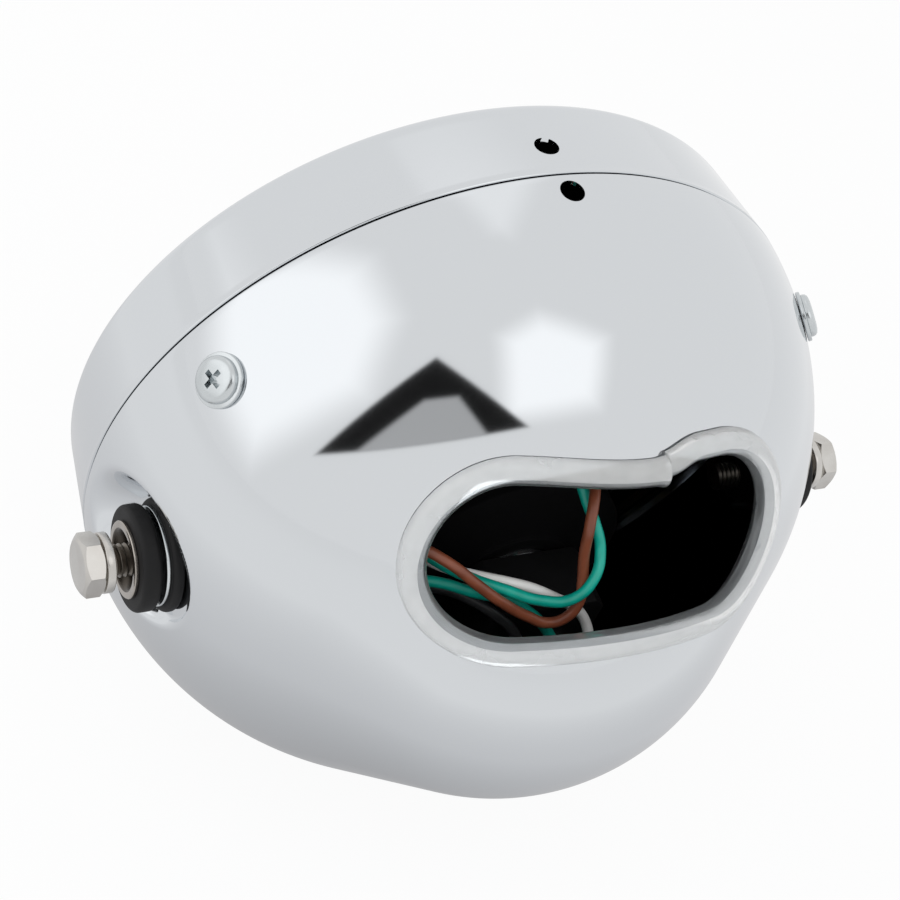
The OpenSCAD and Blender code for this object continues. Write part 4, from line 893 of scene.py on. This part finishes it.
for side, tag in ((1, "left"), (-1, "right")):
    side_bolt(side, "side_bolt_" + tag)
    finished_copy("lock_washer_" + tag, stainless, "bolt_steel", 35, 0.2)
    profile = [(r, side * x) for r, x in sleeve_profile]
    sleeve = spun("sleeve_" + tag + "_finished", profile, sleeve_steps, "X", closed=True)
    smooth(sleeve, 30)
    sleeve.data.materials.append(sleeve_steel)
    sleeve.data.materials.append(shaded_bore)
    # the bore's faces take the painted shade
    for face in sleeve.data.polygons:
        if face.normal.y * face.center.y + face.normal.z * face.center.z < bore_turn:
            face.material_index = 1
    finish_piece(sleeve, None, "sleeve_steel", "sleeve_" + tag)
    finished_copy("outer_grommet_" + tag, black_rubber, "side_rubber", 45)
    finished_copy("plate_washer_" + tag, bright_zinc, "zinc_fixing", 35, 0.15)
    finished_copy("inner_pad_" + tag, black_rubber, "side_rubber", 45)
    finished_copy("weld_nut_" + tag, paint, "nut_steel", 35, 0.2)


# Studio: a pale floor a little below the lamp and a white surround. Two wide soft boxes, a
# small one and a dark card with a pale sheet on it hang far off and show only in the metal.
floor_w, floor_z = 6, -0.13
bpy.ops.object.select_all(action="DESELECT")
bpy.ops.mesh.primitive_plane_add(size=floor_w, location=(0, 0, floor_z))
floor = bpy.context.object
floor.name = "floor"
floor_paint, floor_out = new_material("pale_floor")
rays = add(floor_paint, "ShaderNodeLightPath")
floor_place = add(floor_paint, "ShaderNodeTexCoord").outputs["Object"]
from_lamp = add(floor_paint, "ShaderNodeVectorMath", {0: floor_place}, operation="LENGTH").outputs["Value"]
# the floor that the metal mirrors dims toward its middle, over some 350 mm, in the lamp's shade
shade = add(floor_paint, "ShaderNodeValToRGB", {"Fac": from_lamp})
shade.color_ramp.elements[0].position = 0.04
shade.color_ramp.elements[0].color = (0.42, 0.42, 0.43, 1.0)
shade.color_ramp.elements[1].position = 0.4
shade.color_ramp.elements[1].color = (0.93, 0.93, 0.93, 1.0)
half_way = shade.color_ramp.elements.new(0.16)
half_way.color = (0.7, 0.7, 0.71, 1.0)
floor_shadow = add(floor_paint, "ShaderNodeBsdfDiffuse", {"Color": linear("#F4F5F6")})
floor_tone = add(floor_paint, "ShaderNodeMix", {
    "Factor": rays.outputs["Is Camera Ray"], "A": shade.outputs["Color"], "B": (1, 1, 1, 1)},
    data_type="RGBA")
floor_white = add(floor_paint, "ShaderNodeEmission", {
    "Color": floor_tone.outputs["Result"], "Strength": 1.0})
# the rest of what the camera and the metal see of the floor is lit paint, which keeps the shadow
white_share = 0.9
for_camera = add(floor_paint, "ShaderNodeMath", {
    0: rays.outputs["Is Camera Ray"], 1: white_share}, operation="MULTIPLY")
bounced = add(floor_paint, "ShaderNodeMath", {
    0: rays.outputs["Is Glossy Ray"], 1: rays.outputs["Is Transmission Ray"]}, operation="MAXIMUM")
for_metal = add(floor_paint, "ShaderNodeMath", {
    0: bounced.outputs[0], 1: white_share}, operation="MULTIPLY")
seen = add(floor_paint, "ShaderNodeMath", {
    0: for_camera.outputs[0], 1: for_metal.outputs[0]}, operation="MAXIMUM")
floor_mix = add(floor_paint, "ShaderNodeMixShader", {
    0: seen.outputs[0], 1: floor_shadow.outputs[0], 2: floor_white.outputs[0]})
floor_paint.node_tree.links.new(floor_mix.outputs[0], floor_out.inputs["Surface"])
floor.data.materials.append(floor_paint)


def soft_box(name, place, aim, size, watts):
    """A soft box for the dull surfaces: an area lamp turned to a point, out of sight of the metal."""
    data = bpy.data.lights.new(name, "AREA")
    data.shape = "SQUARE"
    data.size, data.energy = size, watts
    lamp = bpy.data.objects.new(name, data)
    lamp.location = place
    lamp.rotation_euler = (Vector(aim) - Vector(place)).to_track_quat("-Z", "Y").to_euler()
    lamp.visible_glossy = False
    bpy.context.scene.collection.objects.link(lamp)


soft_box("key_box", (0.5, 0.5, 1.1), (0, 0, 0), 0.8, 5)
soft_box("fill_box", (1.1, -0.6, 0.5), (0, 0, 0), 0.8, 3)

world = bpy.data.worlds.new("white_surround")
bpy.context.scene.world = world
world.use_nodes = True
world.node_tree.nodes.clear()
sky = add(world, "ShaderNodeTexCoord").outputs["Generated"]
paths = add(world, "ShaderNodeLightPath")


def toward(azimuth, height):
    """The way to a point of the studio: degrees round from the lens side by the left, and degrees up."""
    a, e = math.radians(azimuth), math.radians(height)
    return Vector((math.sin(a) * math.cos(e), -math.cos(a) * math.cos(e), math.sin(e)))


def hung(corners, softness):
    """Where a sheet with these corners hangs: 1 inside, falling to 0 at its edges over some degrees."""
    ways = [toward(*corner) for corner in corners]
    middle = sum(ways, Vector())
    inside = None
    for one, next_one in zip(ways, ways[1:] + ways[:1]):
        edge_side = one.cross(next_one).normalized()
        if edge_side.dot(middle) < 0:
            edge_side.negate()
        gap = add(world, "ShaderNodeVectorMath", {0: sky, 1: edge_side}, operation="DOT_PRODUCT")
        if inside is None:
            inside = gap.outputs["Value"]
        else:
            both = add(world, "ShaderNodeMath", {0: inside, 1: gap.outputs["Value"]}, operation="MINIMUM")
            inside = both.outputs[0]
    return add(world, "ShaderNodeMapRange", {
        "Value": inside, "From Min": 0.0, "From Max": math.sin(math.radians(softness))},
        interpolation_type="SMOOTHSTEP").outputs["Result"]


def mixed(share, first, second):
    """First or second value, by a share."""
    return add(world, "ShaderNodeMix", {"Factor": share, "A": first, "B": second}).outputs["Result"]


plain, bright, small_bright, card_tone, sheet_tone, lit_level = 0.93, 1.32, 1.08, 0.012, 0.5, 0.75
light = mixed(hung([(34, 2), (104, -4), (124, 40), (96, 66), (42, 56)], 16), plain, bright)
light = mixed(hung([(166, 41), (212, 38), (242, 54), (230, 79), (150, 74)], 10), light, bright)
light = mixed(hung([(322, 28), (8, 34), (0, 74), (320, 76)], 9), light, small_bright)
card = hung([(113.5, 15.5), (126, 61.5), (183.5, 43)], 1.5)
light = mixed(card, light, card_tone)
sheet = hung([(121.5, 18), (134, 48.5), (149, 53.5), (175, 34)], 2.0)
sheet_on_card = add(world, "ShaderNodeMath", {0: card, 1: sheet}, operation="MULTIPLY")
light = mixed(sheet_on_card.outputs[0], light, sheet_tone)
strength = mixed(paths.outputs["Is Glossy Ray"], lit_level, light)
open_view = add(world, "ShaderNodeMath", {
    0: paths.outputs["Is Camera Ray"], 1: paths.outputs["Is Transmission Ray"]}, operation="MAXIMUM")
strength = mixed(open_view.outputs[0], strength, 1.0)
surround = add(world, "ShaderNodeBackground", {"Color": (1, 1, 1, 1), "Strength": strength})
add(world, "ShaderNodeOutputWorld", {"Surface": surround.outputs[0]})

bpy.context.scene.view_settings.view_transform = "Standard"
